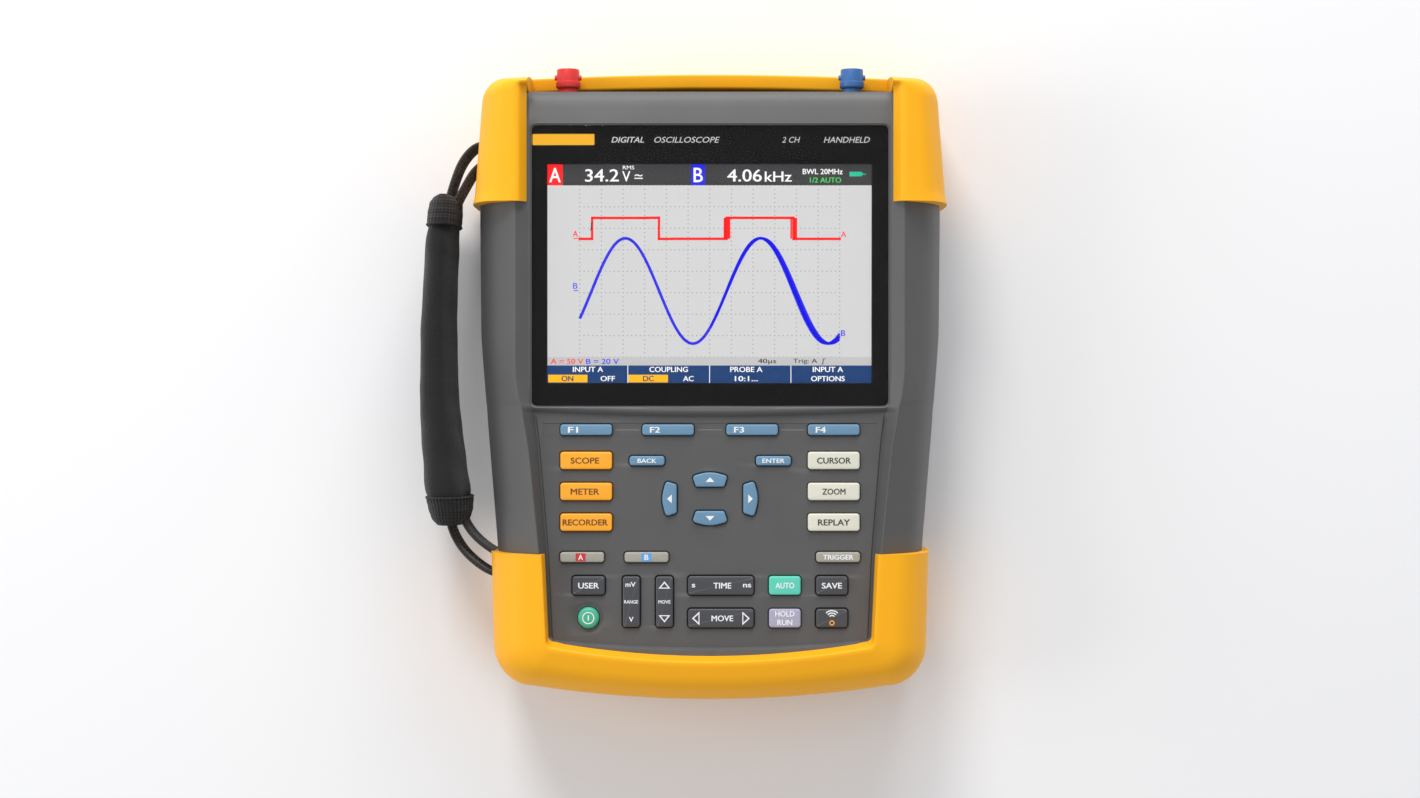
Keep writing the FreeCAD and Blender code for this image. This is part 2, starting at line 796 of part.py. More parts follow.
def key_area(z_low, z_high, margin=0.0):
    """Block over the area of the keys."""
    half = key_area_half_width - margin
    return block(-half, half, key_area_bottom_y + margin, key_area_top_y - margin, z_low, z_high)


def key_mat(stems):
    """Silicone sheet with a hole round each stem and a rim that stands on the keypad board."""
    mat = key_area(key_board_top_z, mat_top_z)
    mat = mat.cut(key_area(key_board_top_z, mat_low_z, key_mat_rim_width))
    for spots in stems.values():
        for x, y in spots:
            mat = mat.cut(rod(x, y, key_board_top_z, stem_radius + stem_gap, dome_height + 4.0))
    return mat


def keypad_board(stems):
    """Circuit board with a dome switch under each stem."""
    board = key_area(key_board_top_z - board_thickness, key_board_top_z)
    for spots in stems.values():
        for x, y in spots:
            board = board.fuse(rod(x, y, key_board_top_z - 0.1, dome_radius, dome_height + 0.1))
    return board


def chassis_frame():
    """Inner frame plate with posts down to the main board and bosses up to the keypad board."""
    low_z = frame_top_z - frame_thickness
    corners = both_sides([
        (0.0, board_bottom_y, 0),
        (frame_low_half_width, board_bottom_y, 3.0),
        (frame_low_half_width, board_waist_y, 0),
        (frame_half_width, board_waist_y + 6.0, 0),
        (frame_half_width, board_top_y, 3.0),
    ])
    frame = prism(corners, low_z, frame_top_z)
    for x, y in board_spots():
        frame = frame.fuse(rod(x, y, board_z + board_thickness, post_radius,
                               low_z - board_z - board_thickness))
    boss_x = key_area_half_width - 2.0 * post_radius
    boss_top = key_board_top_z - board_thickness
    for x in (-boss_x, 0.0, boss_x):
        for y in (key_area_bottom_y + 3.0 * post_radius, key_area_top_y - 2.0 * post_radius):
            frame = frame.fuse(rod(x, y, frame_top_z, post_radius, boss_top - frame_top_z))
    return frame


def main_board():
    """Main circuit board on the rear case's posts, with a tongue out to the side sockets."""
    corners = both_sides([
        (0.0, board_bottom_y, 0),
        (board_low_half_width, board_bottom_y, 3.0),
        (board_low_half_width, board_waist_y, 0),
        (board_half_width, board_waist_y + 6.0, 0),
        (board_half_width, board_top_y, 3.0),
    ])
    top_z = board_z + board_thickness
    board = prism(corners, board_z, top_z)
    tongue = block(board_half_width - 1.0, board_tongue_x, port_y - port_half_length + 3.0,
                   port_y + port_half_length - 2.0, board_z, top_z)
    return board.fuse(tongue)


def input_shields():
    """Two folded metal cans on the main board, behind the coaxial jacks."""
    low_z = board_z + board_thickness
    skin = 0.6
    cans = []
    for x in (-shield_x, shield_x):
        can = prism(rectangle(x, shield_y, shield_width, shield_length, 1.5), low_z, low_z + shield_height)
        inside = prism(rectangle(x, shield_y, shield_width - 2.0 * skin, shield_length - 2.0 * skin, 1.0),
                       low_z, low_z + shield_height - skin)
        cans.append(can.cut(inside))
    return cans


def case_screws():
    """Long screws from the back into the front half."""
    tip_z = seam_top_z + screw_grip
    screws = []
    for x, y in screw_spots():
        shank = rod(x, y, screw_recess_z, screw_radius, tip_z - screw_recess_z)
        head = rod(x, y, screw_recess_z - screw_head_depth, screw_head_radius, screw_head_depth)
        slot = block(x - 0.4, x + 0.4, y - 2.0, y + 2.0, 0.0, screw_recess_z - screw_head_depth / 2.0)
        screws.append(tidy(shank.fuse(head).cut(slot)))
    return screws


# ================================================================ connectors


def along_y(x, z, start_y, radius, length):
    """Round bar towards the head end."""
    return rod(x, start_y, z, radius, length, (0, 1, 0))


def coaxial_jack(x):
    """Bayonet jack: flange and barrel outside the end wall, body and nut inside it."""
    face = connector_face_y
    z = connector_z
    jack = along_y(x, z, face - bnc_body_length, bnc_body_radius, bnc_body_length)
    jack = jack.fuse(along_y(x, z, face, bnc_flange_radius, 2.0))
    jack = jack.fuse(along_y(x, z, face - wall - 2.0, bnc_flange_radius, 2.0))
    jack = jack.fuse(along_y(x, z, face, bnc_radius, bnc_reach))
    lug_y = face + bnc_reach - bnc_lug_back
    lugs = rod(x - bnc_lug_span / 2.0, lug_y, z, bnc_lug_radius, bnc_lug_span, (1, 0, 0))
    jack = jack.fuse(lugs)
    mouth = face + bnc_reach
    jack = jack.cut(along_y(x, z, mouth - bnc_bore_depth, bnc_bore_radius, bnc_bore_depth))
    jack = jack.fuse(along_y(x, z, mouth - bnc_bore_depth - 0.5, bnc_core_radius, bnc_bore_depth - 1.5))
    jack = jack.cut(along_y(x, z, mouth - bnc_bore_depth, bnc_pin_hole_radius, bnc_bore_depth))
    return jack


def safety_socket(x):
    """Shrouded 4 mm socket: outer shell, groove for the plug's shroud, sleeve with the bore."""
    z = connector_z
    mouth = connector_face_y + socket_reach
    socket = along_y(x, z, connector_face_y - socket_length, socket_radius, socket_length + socket_reach)
    groove = along_y(x, z, mouth - socket_groove_depth, socket_groove_radius, socket_groove_depth)
    groove = groove.cut(along_y(x, z, mouth - socket_groove_depth, socket_sleeve_radius,
                                socket_groove_depth))
    bore = along_y(x, z, mouth - socket_length, socket_bore_radius, socket_length)
    return socket.cut(groove).cut(bore)


def port_z():
    """Height of the middle of the side sockets' recess."""
    return board_z - usb_a_size[1] / 2.0


def port_block(y, size, grow):
    """Body of one side socket, hung under the main board, its mouth flush with the recess."""
    x = case_side(port_y) - port_recess
    width, height = size
    return block(x - port_body_depth, x, y - width / 2.0 - grow, y + width / 2.0 + grow,
                 board_z - height - grow, board_z + (grow if grow else 0.0))


def port_blocks(grow):
    """Bodies of the side sockets."""
    return [port_block(usb_a_y, usb_a_size, grow), port_block(usb_mini_y, usb_mini_size, grow),
            port_block(charger_y, charger_size, grow)]


def usb_sockets():
    """Two metal sockets, each with a tongue in its mouth."""
    x = case_side(port_y) - port_recess
    sockets = []
    for y, size, mouth in ((usb_a_y, usb_a_size, usb_a_mouth), (usb_mini_y, usb_mini_size, usb_mini_mouth)):
        z = board_z - size[1] / 2.0
        depth = port_body_depth - 2.0
        opening = block(x - depth, x, y - mouth[0] / 2.0, y + mouth[0] / 2.0,
                        z - mouth[1] / 2.0, z + mouth[1] / 2.0)
        tongue = block(x - port_body_depth, x - 0.8, y - mouth[0] / 2.0 + 0.8, y + mouth[0] / 2.0 - 0.8,
                       z - mouth[1] / 6.0, z + mouth[1] / 6.0)
        sockets.append(port_block(y, size, 0.0).cut(opening).fuse(tongue))
    return sockets


def dc_inlet():
    """Charger socket with a round hole and a centre pin."""
    x = case_side(port_y) - port_recess
    z = board_z - charger_size[1] / 2.0
    depth = port_body_depth - 1.5
    hole = rod(x, charger_y, z, charger_hole_radius, depth, (-1, 0, 0))
    pin = rod(x - depth, charger_y, z, charger_pin_radius, depth - 1.0, (1, 0, 0))
    return port_block(charger_y, charger_size, 0.0).cut(hole).fuse(pin)


def port_cover():
    """Flap in the recess over the side sockets, with a round hinge edge."""
    x = case_side(port_y) - port_recess
    low_x = x + 0.1
    axis_y = port_y - port_half_length + cover_gap + cover_hinge_radius
    half_height = port_half_height - cover_gap
    flap = block(low_x, low_x + 2.0 * cover_hinge_radius, axis_y,
                 port_y + port_half_length - cover_gap, port_z() - half_height, port_z() + half_height)
    edge = rod(low_x + cover_hinge_radius, axis_y, port_z() - half_height, cover_hinge_radius,
               2.0 * half_height)
    notch = block(low_x + cover_hinge_radius, low_x + 3.0 * cover_hinge_radius,
                  port_y + port_half_length - 2.5, port_y + port_half_length, port_z() - 3.0, port_z() + 3.0)
    return flap.fuse(edge).cut(notch)


# ================================================================ battery, door and stand


def battery_pack():
    """Battery block in its bay."""
    gap = battery_gap
    low_z = back_sink + door_thickness + door_gap
    return prism(rectangle(0.0, (bay_low_y + bay_high_y) / 2.0, 2.0 * (bay_half_width - gap),
                           bay_high_y - bay_low_y - 2.0 * gap, 2.0), low_z, bay_depth - gap)


def battery_door():
    """Cover of the bay, with two holes for its locks in its lower part."""
    gap = door_gap
    half = bay_half_width + door_lip - gap
    low_y = bay_low_y - door_tail + gap
    high_y = bay_high_y + door_lip - gap
    door = prism(rectangle(0.0, (low_y + high_y) / 2.0, 2.0 * half, high_y - low_y, 2.0),
                 back_sink, back_sink + door_thickness)
    for x in (-lock_x, lock_x):
        door = door.cut(rod(x, lock_y, 0.0, lock_radius + lock_gap, 1.2 + back_sink))
        door = door.cut(rod(x, lock_y, 0.0, lock_shank_radius + lock_gap, 2.0 * door_thickness))
    return door


def door_lock(x):
    """Quarter-turn lock: a slotted head sunk in the door and a shank into the case."""
    head = rod(x, lock_y, back_sink, lock_radius, 1.1)
    shank = rod(x, lock_y, back_sink + 1.0, lock_shank_radius,
                door_thickness + lock_shank_length - 1.0)
    slot = block(x - lock_slot / 2.0, x + lock_slot / 2.0, lock_y - lock_radius * 0.75,
                 lock_y + lock_radius * 0.75, 0.0, back_sink + 0.8)
    return head.fuse(shank).cut(slot)


def stand_pins():
    """Two hinge pins of the tilt stand, each held in the side of its recess."""
    length = stand_pin_reach + stand_gap + stand_pin_grip
    start = stand_half_width - stand_pin_reach
    return [rod(side * start, stand_hinge_y, stand_axis_z, stand_pin_radius, length, (side, 0, 0))
            for side in (1, -1)]


def tilt_stand():
    """Flat leg with a round hinge edge and a finger notch in its free end."""
    low_z = back_sink
    high_z = back_sink + stand_thickness
    leg = block(-stand_half_width, stand_half_width, stand_foot_y, stand_hinge_y, low_z, high_z)
    edge = rod(-stand_half_width, stand_hinge_y, stand_axis_z, stand_thickness / 2.0,
               2.0 * stand_half_width, (1, 0, 0))
    leg = leg.fuse(edge)
    leg = leg.cut(block(-stand_notch_half_width, stand_notch_half_width, stand_foot_y - 1.0,
                        stand_foot_y + stand_notch_depth, 0.0, 2.0 * stand_thickness))
    hole_radius = stand_pin_radius + stand_pin_gap
    depth = stand_pin_reach + stand_gap
    for side in (1, -1):
        start = stand_half_width - depth
        leg = leg.cut(rod(side * start, stand_hinge_y, stand_axis_z, hole_radius, 2.0 * depth,
                          (side, 0, 0)))
    return leg


# ================================================================ hand strap


def webbing_loop(y, sleeve_end, apart):
    """Flat webbing from the sleeve's end, round the back of a post and into the sleeve again."""
    x = -(case_side(y) - strap_post_inset)
    turn = strap_post_radius + webbing_gap + webbing_thickness / 2.0
    end_x, end_y = sleeve_end
    spread = 4.3
    half = webbing_thickness / 2.0
    low_z = strap_z - webbing_width / 2.0
    out_x = x - 2.6 * turn
    toward = 1.0 if end_y < y else -1.0
    start = Vector(end_x + apart / 2.0, end_y, low_z)
    finish = Vector(end_x - apart / 2.0, end_y, low_z)
    near = Vector(out_x, y - toward * spread, low_z)
    near_post = Vector(x, y - toward * turn, low_z)
    behind = Vector(x + turn, y, low_z)
    far_post = Vector(x, y + toward * turn, low_z)
    far_out = Vector(out_x, y + toward * spread, low_z)
    edges = [
        Part.LineSegment(start, near).toShape(),
        Part.LineSegment(near, near_post).toShape(),
        Part.Arc(near_post, behind, far_post).toShape(),
        Part.LineSegment(far_post, far_out).toShape(),
        Part.LineSegment(far_out, finish).toShape(),
    ]
    band = Part.Wire(edges).makeOffset2D(half, 0, True, False)
    return band.extrude(Vector(0, 0, webbing_width))


def strap_sleeve():
    """Padded grip as a plain closed block: its plan follows the bow of the strap."""
    plan = [
        (-107.0, 79.5, 4.0), (-110.8, 22.0, 60.0), (-109.8, -18.0, 40.0), (-104.6, -44.0, 6.0),
        (-105.4, -58.0, 3.0), (-112.4, -58.0, 3.0), (-122.4, -46.0, 10.0), (-124.6, -4.0, 60.0),
        (-124.4, 30.0, 60.0), (-121.6, 79.5, 5.0),
    ]
    return prism(plan, strap_z - sleeve_height / 2.0, strap_z + sleeve_height / 2.0)


# ================================================================ all nodes


def main():
    os.makedirs("parts", exist_ok=True)
    hull = case_hull()
    bumper = bumper_hull()
    well = whole_front_well(case_crest_z)
    bumper_well = whole_front_well(body_depth)
    faces = key_faces()
    stems = key_stems()
    save("front_case", tidy(front_case(hull, well, faces)))
    save("rear_case", tidy(rear_case(hull)))
    save("case_seal", case_seal().removeSplitter().Solids)
    save("top_bumper", tidy(top_bumper(bumper, hull, bumper_well)))
    save("bottom_bumper", tidy(bottom_bumper(bumper, hull, bumper_well)))
    save("display_window", display_window())
    save("lcd_module", lcd_module())
    save("display_gasket", display_gasket())
    save("key_mat", tidy(key_mat(stems)))
    save("keypad_board", tidy(keypad_board(stems)))
    save("chassis_frame", tidy(chassis_frame()))
    save("main_board", tidy(main_board()))
    save("input_shields", input_shields())
    save("case_screws", case_screws())
    save("input_a_jack", tidy(coaxial_jack(-bnc_x)))
    save("input_b_jack", tidy(coaxial_jack(bnc_x)))
    save("meter_jack_common", tidy(safety_socket(-socket_spacing / 2.0)))
    save("meter_jack_volt", tidy(safety_socket(socket_spacing / 2.0)))
    save("usb_sockets", usb_sockets())
    save("dc_inlet", tidy(dc_inlet()))
    save("port_cover", tidy(port_cover()))
    save("battery_pack", battery_pack())
    save("battery_door", tidy(battery_door()))
    save("door_lock_1", tidy(door_lock(-lock_x)))
    save("door_lock_2", tidy(door_lock(lock_x)))
    save("stand_pins", stand_pins())
    save("tilt_stand", tidy(tilt_stand()))
    save("strap_posts", [strap_post(y, side) for y in strap_post_y for side in (1, -1)])
    webbing = [webbing_loop(strap_post_y[0], (-114.2, 71.0), 2.4),
               webbing_loop(strap_post_y[1], (-109.0, -50.0), 2.4)]
    save("strap_webbing", webbing)
    save("strap_sleeve", tidy(strap_sleeve().cut(Part.makeCompound(webbing))))
    make_keys(faces, stems)


main()
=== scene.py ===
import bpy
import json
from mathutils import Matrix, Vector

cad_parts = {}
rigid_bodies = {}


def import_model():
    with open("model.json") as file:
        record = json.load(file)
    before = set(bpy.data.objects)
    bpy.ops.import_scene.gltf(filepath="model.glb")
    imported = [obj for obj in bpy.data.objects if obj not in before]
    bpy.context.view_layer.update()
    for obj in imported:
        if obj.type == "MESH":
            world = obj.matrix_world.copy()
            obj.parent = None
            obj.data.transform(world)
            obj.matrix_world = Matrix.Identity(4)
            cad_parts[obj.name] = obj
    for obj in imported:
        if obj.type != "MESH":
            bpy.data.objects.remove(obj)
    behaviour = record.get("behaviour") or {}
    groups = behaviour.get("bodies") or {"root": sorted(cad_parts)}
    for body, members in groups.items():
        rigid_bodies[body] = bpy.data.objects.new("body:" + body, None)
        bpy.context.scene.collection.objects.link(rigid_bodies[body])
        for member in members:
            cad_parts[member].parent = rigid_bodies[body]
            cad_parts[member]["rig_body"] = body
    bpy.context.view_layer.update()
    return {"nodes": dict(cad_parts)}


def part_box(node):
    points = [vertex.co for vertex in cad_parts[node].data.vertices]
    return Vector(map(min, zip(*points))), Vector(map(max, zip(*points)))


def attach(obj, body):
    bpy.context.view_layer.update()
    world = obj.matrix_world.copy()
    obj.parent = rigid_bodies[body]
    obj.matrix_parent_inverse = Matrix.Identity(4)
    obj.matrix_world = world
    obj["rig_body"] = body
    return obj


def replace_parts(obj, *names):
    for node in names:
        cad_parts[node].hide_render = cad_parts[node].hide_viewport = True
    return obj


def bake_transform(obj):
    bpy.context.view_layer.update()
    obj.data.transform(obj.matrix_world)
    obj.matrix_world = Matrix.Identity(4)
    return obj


bl_info = {
    "name": "Handheld Oscilloscope",
    "version": (1, 0, 0),
    "blender": (4, 5, 0),
    "location": "3D View > Sidebar > Oscilloscope",
    "description": "Builds the looks of a handheld oscilloscope round its packed CAD frame",
    "category": "Add Mesh",
}

import json
import math

import bmesh
import bpy
import numpy as np
from mathutils import Matrix, Vector

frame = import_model()

MM = 0.001


# ---------------------------------------------------------------- places read from the CAD frame

def span(node):
    """Lowest and highest corners of a CAD node in millimetres."""
    low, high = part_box(node)
    return np.array(low) / MM, np.array(high) / MM


def middle(node):
    """Middle of a CAD node's box in millimetres."""
    low, high = span(node)
    return (low + high) / 2.0


CASE_LOW, CASE_HIGH = span("front_case")
BACK_LOW, BACK_HIGH = span("rear_case")
FOOT_LOW, FOOT_HIGH = span("bottom_bumper")
HEAD_LOW, HEAD_HIGH = span("top_bumper")
GLASS_LOW, GLASS_HIGH = span("display_window")
RUBBER = HEAD_HIGH[1] - CASE_HIGH[1] if HEAD_HIGH[1] > CASE_HIGH[1] else 3.0
CREST_Z = CASE_HIGH[2]
TOP_Z = FOOT_HIGH[2]
SEAM_LOW = BACK_HIGH[2]
SEAM_HIGH = CASE_LOW[2]
SCREEN_Z = GLASS_HIGH[2] + 0.2
KEY_TOP_Z = span("key_scope")[1][2]
PANEL_Z = KEY_TOP_Z - 1.5
BAY_Y = span("input_a_jack")[1][1] - 12.0
JACK_Z = middle("input_a_jack")[2]
STRAP_Z = middle("strap_sleeve")[2]


# ---------------------------------------------------------------- sizes and colours a user would change

def colour(name, text, value):
    """A colour property with its default as red, green and blue in linear light."""
    return bpy.props.FloatVectorProperty(name=name, description=text, subtype="COLOR", size=3,
                                         min=0.0, max=1.0, default=value)


def length(name, text, value):
    """A size property in metres."""
    return bpy.props.FloatProperty(name=name, description=text, subtype="DISTANCE", unit="LENGTH",
                                   min=0.0, default=value)


class ScopeColours(bpy.types.PropertyGroup):
    """Colours of the case, rubber, keys and strap"""
    case: colour("Case", "Moulded grey of both case halves", (0.079, 0.079, 0.079))
    rubber: colour("Bumpers", "Yellow of the overmoulded bumpers", (1.0, 0.445, 0.004))
    key_blue: colour("Blue keys", "Soft keys, arrows, back and enter", (0.130, 0.265, 0.400))
    key_orange: colour("Orange keys", "Scope, meter and recorder", (1.0, 0.40, 0.010))
    key_cream: colour("Cream keys", "Cursor, zoom and replay", (0.72, 0.71, 0.60))
    key_warm: colour("Warm grey keys", "Input and trigger menus", (0.36, 0.345, 0.295))
    key_dark: colour("Dark keys", "Rockers, user, save and wireless", (0.052, 0.054, 0.062))
    key_teal: colour("Teal key", "Auto", (0.10, 0.62, 0.47))
    key_lavender: colour("Lavender key", "Hold and run", (0.40, 0.39, 0.52))
    key_green: colour("Power key", "Power", (0.055, 0.43, 0.27))
    jack_red: colour("Input A", "Plastic of the red jack", (0.74, 0.022, 0.016))
    jack_blue: colour("Input B", "Plastic of the blue jack", (0.025, 0.130, 0.380))
    sleeve: colour("Sleeve", "Knit cover of the hand strap", (0.0105, 0.0100, 0.0110))
    webbing: colour("Webbing", "Woven band of the hand strap", (0.0200, 0.0175, 0.0160))


class ScopeSizes(bpy.types.PropertyGroup):
    """Sizes of the visible detail that the CAD frame leaves open"""
    crease: length("Rail rounding", "Rounding of the rails' crest", 0.0008)
    key_crown: length("Key crown", "How far a key's top rises in its middle", 0.00012)
    grain: length("Grain", "Size of the moulded grain", 0.00035)
    view_height: length("Camera height", "Camera above the floor", 1.035)


# ---------------------------------------------------------------- mesh helpers

def make_object(name, verts, faces, material=None, smooth=True, angle=35.0):
    """Mesh object from corners in millimetres and faces, in metres about the origin, smooth but at sharp edges."""
    mesh = bpy.data.meshes.new(name)
    mesh.from_pydata((np.asarray(verts, float) * MM).tolist(), [], [list(map(int, f)) for f in faces])
    mesh.validate()
    obj = bpy.data.objects.new(name, mesh)
    bpy.context.scene.collection.objects.link(obj)
    if material is not None:
        mesh.materials.append(material)
    if smooth:
        smooth_by_angle(obj, angle)
    return obj


def smooth_by_angle(obj, angle=35.0):
    """Smooth shading whose edges steeper than the angle stay sharp."""
    mesh = obj.data
    mesh.shade_smooth()
    mesh.set_sharp_from_angle(angle=math.radians(angle))


def grid_faces(rows, cols, wrap_rows=False, wrap_cols=False):
    """Quads of a grid of rows by cols points, optionally joined round either way."""
    r = np.arange(rows if wrap_rows else rows - 1)
    c = np.arange(cols if wrap_cols else cols - 1)
    rr, cc = np.meshgrid(r, c, indexing="ij")
    r2 = (rr + 1) % rows
    c2 = (cc + 1) % cols
    quads = np.stack([rr * cols + cc, rr * cols + c2, r2 * cols + c2, r2 * cols + cc], -1)
    return quads.reshape(-1, 4).tolist()


def join_parts(parts):
    """One list of corners and faces from several."""
    verts = []
    faces = []
    base = 0
    for part_verts, part_faces in parts:
        verts.append(np.asarray(part_verts, float))
        faces.extend([[i + base for i in face] for face in part_faces])
        base += len(part_verts)
    return np.concatenate(verts), faces


def clean(obj):
    """Merges doubled corners and points the faces outwards."""
    bm = bmesh.new()
    bm.from_mesh(obj.data)
    bmesh.ops.remove_doubles(bm, verts=bm.verts, dist=1e-6)
    bmesh.ops.recalc_face_normals(bm, faces=bm.faces)
    bm.to_mesh(obj.data)
    bm.free()
    obj.data.update()
    return obj


def apply_modifiers(obj):
    """Turns the object's modifiers into its mesh."""
    depsgraph = bpy.context.evaluated_depsgraph_get()
    mesh = bpy.data.meshes.new_from_object(obj.evaluated_get(depsgraph), depsgraph=depsgraph)
    obj.modifiers.clear()
    old = obj.data
    obj.data = mesh
    bpy.data.meshes.remove(old)
    return obj


def cut_out(obj, cutters):
    """Takes the cutters, closed meshes in one object, out of a piece and deletes them."""
    step = obj.modifiers.new("cut", "BOOLEAN")
    step.operation = "DIFFERENCE"
    step.solver = "EXACT"
    step.object = cutters
    apply_modifiers(obj)
    bpy.data.objects.remove(cutters)
    return obj


def rounded_outline(corners, steps=6):
    """Closed plan line through (x, y, radius) corners: each corner is an arc of the given steps."""
    corners = [tuple(map(float, c)) for c in corners]
    count = len(corners)
    out = []
    for i, (x, y, radius) in enumerate(corners):
        here = np.array([x, y])
        back = np.array(corners[i - 1][:2]) - here
        ahead = np.array(corners[(i + 1) % count][:2]) - here
        back /= np.linalg.norm(back)
        ahead /= np.linalg.norm(ahead)
        half = math.acos(np.clip(back @ ahead, -1, 1)) / 2.0
        radius = max(radius, 1e-3)
        reach = radius / math.tan(half)
        centre_way = (back + ahead) / np.linalg.norm(back + ahead)
        centre = here + centre_way * (radius / math.sin(half))
        first = here + back * reach - centre
        last = here + ahead * reach - centre
        a0 = math.atan2(first[1], first[0])
        sweep = (math.atan2(last[1], last[0]) - a0 + math.pi) % (2.0 * math.pi) - math.pi
        t = a0 + sweep * np.linspace(0.0, 1.0, steps + 1)
        out.append(centre + radius * np.stack([np.cos(t), np.sin(t)], -1))
    return np.concatenate(out)


def rectangle(x, y, width, height, radius, steps=6):
    """Rounded rectangle about (x, y)."""
    a, b = width / 2.0, height / 2.0
    return rounded_outline([(x - a, y - b, radius), (x + a, y - b, radius),
                            (x + a, y + b, radius), (x - a, y + b, radius)], steps)


def circle(x, y, radius, count=48):
    """Points round a circle."""
    t = np.linspace(0.0, 2.0 * math.pi, count, endpoint=False)
    return np.stack([x + radius * np.cos(t), y + radius * np.sin(t)], -1)


def inset(outline, distance):
    """Closed plan line moved inwards: each point shifts along the mean of its two edge normals."""
    edge = np.roll(outline, -1, 0) - outline
    size = np.linalg.norm(edge, axis=1, keepdims=True)
    size[size < 1e-9] = 1e-9
    normal = np.stack([-edge[:, 1], edge[:, 0]], -1) / size
    mean = normal + np.roll(normal, 1, 0)
    mean /= np.maximum(np.linalg.norm(mean, axis=1, keepdims=True), 1e-9)
    lean = np.maximum((mean * normal).sum(1, keepdims=True), 0.3)
    return outline + mean * distance / lean


def stacked(outline, levels, crown=0.0, crown_rings=0):
    """Closed solid: the outline drawn in by each level's inset at its height, bottom first. With a crown
    the top closes in rings that shrink to the middle and rise by crown * (1 - s * s)."""
    rings = [np.column_stack([inset(outline, d), np.full(len(outline), z)]) for d, z in levels]
    count = len(outline)
    verts = list(rings)
    faces = grid_faces(len(rings), count, wrap_cols=True)
    faces.append(list(range(count))[::-1])
    if crown_rings:
        top = rings[-1]
        centre = top.mean(0)
        for k in range(1, crown_rings):
            s = 1.0 - k / crown_rings
            ring = centre + (top - centre) * s
            ring[:, 2] = top[:, 2] + crown * (1.0 - s * s)
            verts.append(ring)
        total = len(verts)
        faces = grid_faces(total, count, wrap_cols=True) + [list(range(count))[::-1]]
        tip = np.array([[centre[0], centre[1], centre[2] + crown]])
        verts.append(tip)
        last = (total - 1) * count
        faces += [[last + i, last + (i + 1) % count, total * count] for i in range(count)]
    else:
        last = (len(rings) - 1) * count
        faces.append([last + i for i in range(count)])
    return np.concatenate(verts), faces


def edge_levels(low, high, radius, steps=3):
    """Levels of an upright wall whose top and bottom are rounded by a quarter circle."""
    t = np.linspace(0.0, math.pi / 2.0, steps + 1)
    top = [(radius * (1.0 - math.cos(a)), high - radius + radius * math.sin(a)) for a in t]
    bottom = [(radius * (1.0 - math.cos(a)), low + radius - radius * math.sin(a)) for a in t[::-1]]
    return bottom + top


def round_profile(points, radii, steps=4):
    """Rounds the corners of many open section lines at once. points is (stations, corners, 3); each corner
    becomes a quadratic curve between two points up to its radius away along its two runs."""
    points = np.asarray(points, float)
    out = [points[:, :1]]
    for i in range(1, points.shape[1] - 1):
        here = points[:, i]
        back = points[:, i - 1] - here
        ahead = points[:, i + 1] - here
        back_len = np.linalg.norm(back, axis=1, keepdims=True)
        ahead_len = np.linalg.norm(ahead, axis=1, keepdims=True)
        reach = np.minimum(radii[i], 0.45 * np.minimum(back_len, ahead_len))
        start = here + back / np.maximum(back_len, 1e-9) * reach
        end = here + ahead / np.maximum(ahead_len, 1e-9) * reach
        s = np.linspace(0.0, 1.0, steps + 1)[None, :, None]
        curve = (1 - s) ** 2 * start[:, None] + 2 * s * (1 - s) * here[:, None] + s ** 2 * end[:, None]
        out.append(curve)
    out.append(points[:, -1:])
    return np.concatenate(out, 1)


def turned(profile, start, axis, count=40):
    """Closed solid of revolution: (distance along, radius) pairs turned about an axis from a point."""
    axis = np.asarray(axis, float) / np.linalg.norm(axis)
    side = np.cross(axis, [0.0, 0.0, 1.0])
    if np.linalg.norm(side) < 1e-6:
        side = np.array([1.0, 0.0, 0.0])
    side /= np.linalg.norm(side)
    up = np.cross(side, axis)
    t = np.linspace(0.0, 2.0 * math.pi, count, endpoint=False)
    ring = np.cos(t)[:, None] * side + np.sin(t)[:, None] * up
    rows = [np.asarray(start, float) + axis * a + ring * max(r, 1e-4) for a, r in profile]
    faces = grid_faces(len(rows), count, wrap_cols=True)
    faces.append(list(range(count)))
    faces.append([(len(rows) - 1) * count + i for i in range(count)][::-1])
    return np.concatenate(rows), faces


def box_part(low, high):
    """Corners and faces of a plain box, for cutters and hidden blocks."""
    x0, y0, z0 = low
    x1, y1, z1 = high
    outline = np.array([[x0, y0], [x1, y0], [x1, y1], [x0, y1]], float)
    return stacked(outline, [(0.0, z0), (0.0, z1)])


# ---------------------------------------------------------------- shader groups

def new_group(name, inputs, outputs):
    """Empty shader node group with named float inputs (name, default) and outputs (name, kind)."""
    tree = bpy.data.node_groups.new(name, "ShaderNodeTree")
    for label, default in inputs:
        socket = tree.interface.new_socket(name=label, in_out="INPUT", socket_type="NodeSocketFloat")
        socket.default_value = default
    for label, kind in outputs:
        tree.interface.new_socket(name=label, in_out="OUTPUT", socket_type="NodeSocket" + kind)
    return tree, tree.nodes.new("NodeGroupInput"), tree.nodes.new("NodeGroupOutput")


def add_node(tree, kind, **settings):
    """Adds a node and sets its properties."""
    node = tree.nodes.new("ShaderNode" + kind)
    for key, value in settings.items():
        setattr(node, key, value)
    return node


def calculate(tree, operation, a, b=None):
    """Math node on two values or sockets; returns its output."""
    node = add_node(tree, "Math", operation=operation)
    for socket, value in zip(node.inputs, (a, b)):
        if value is None:
            continue
        if isinstance(value, (int, float)):
            socket.default_value = value
        else:
            tree.links.new(value, socket)
    return node.outputs[0]


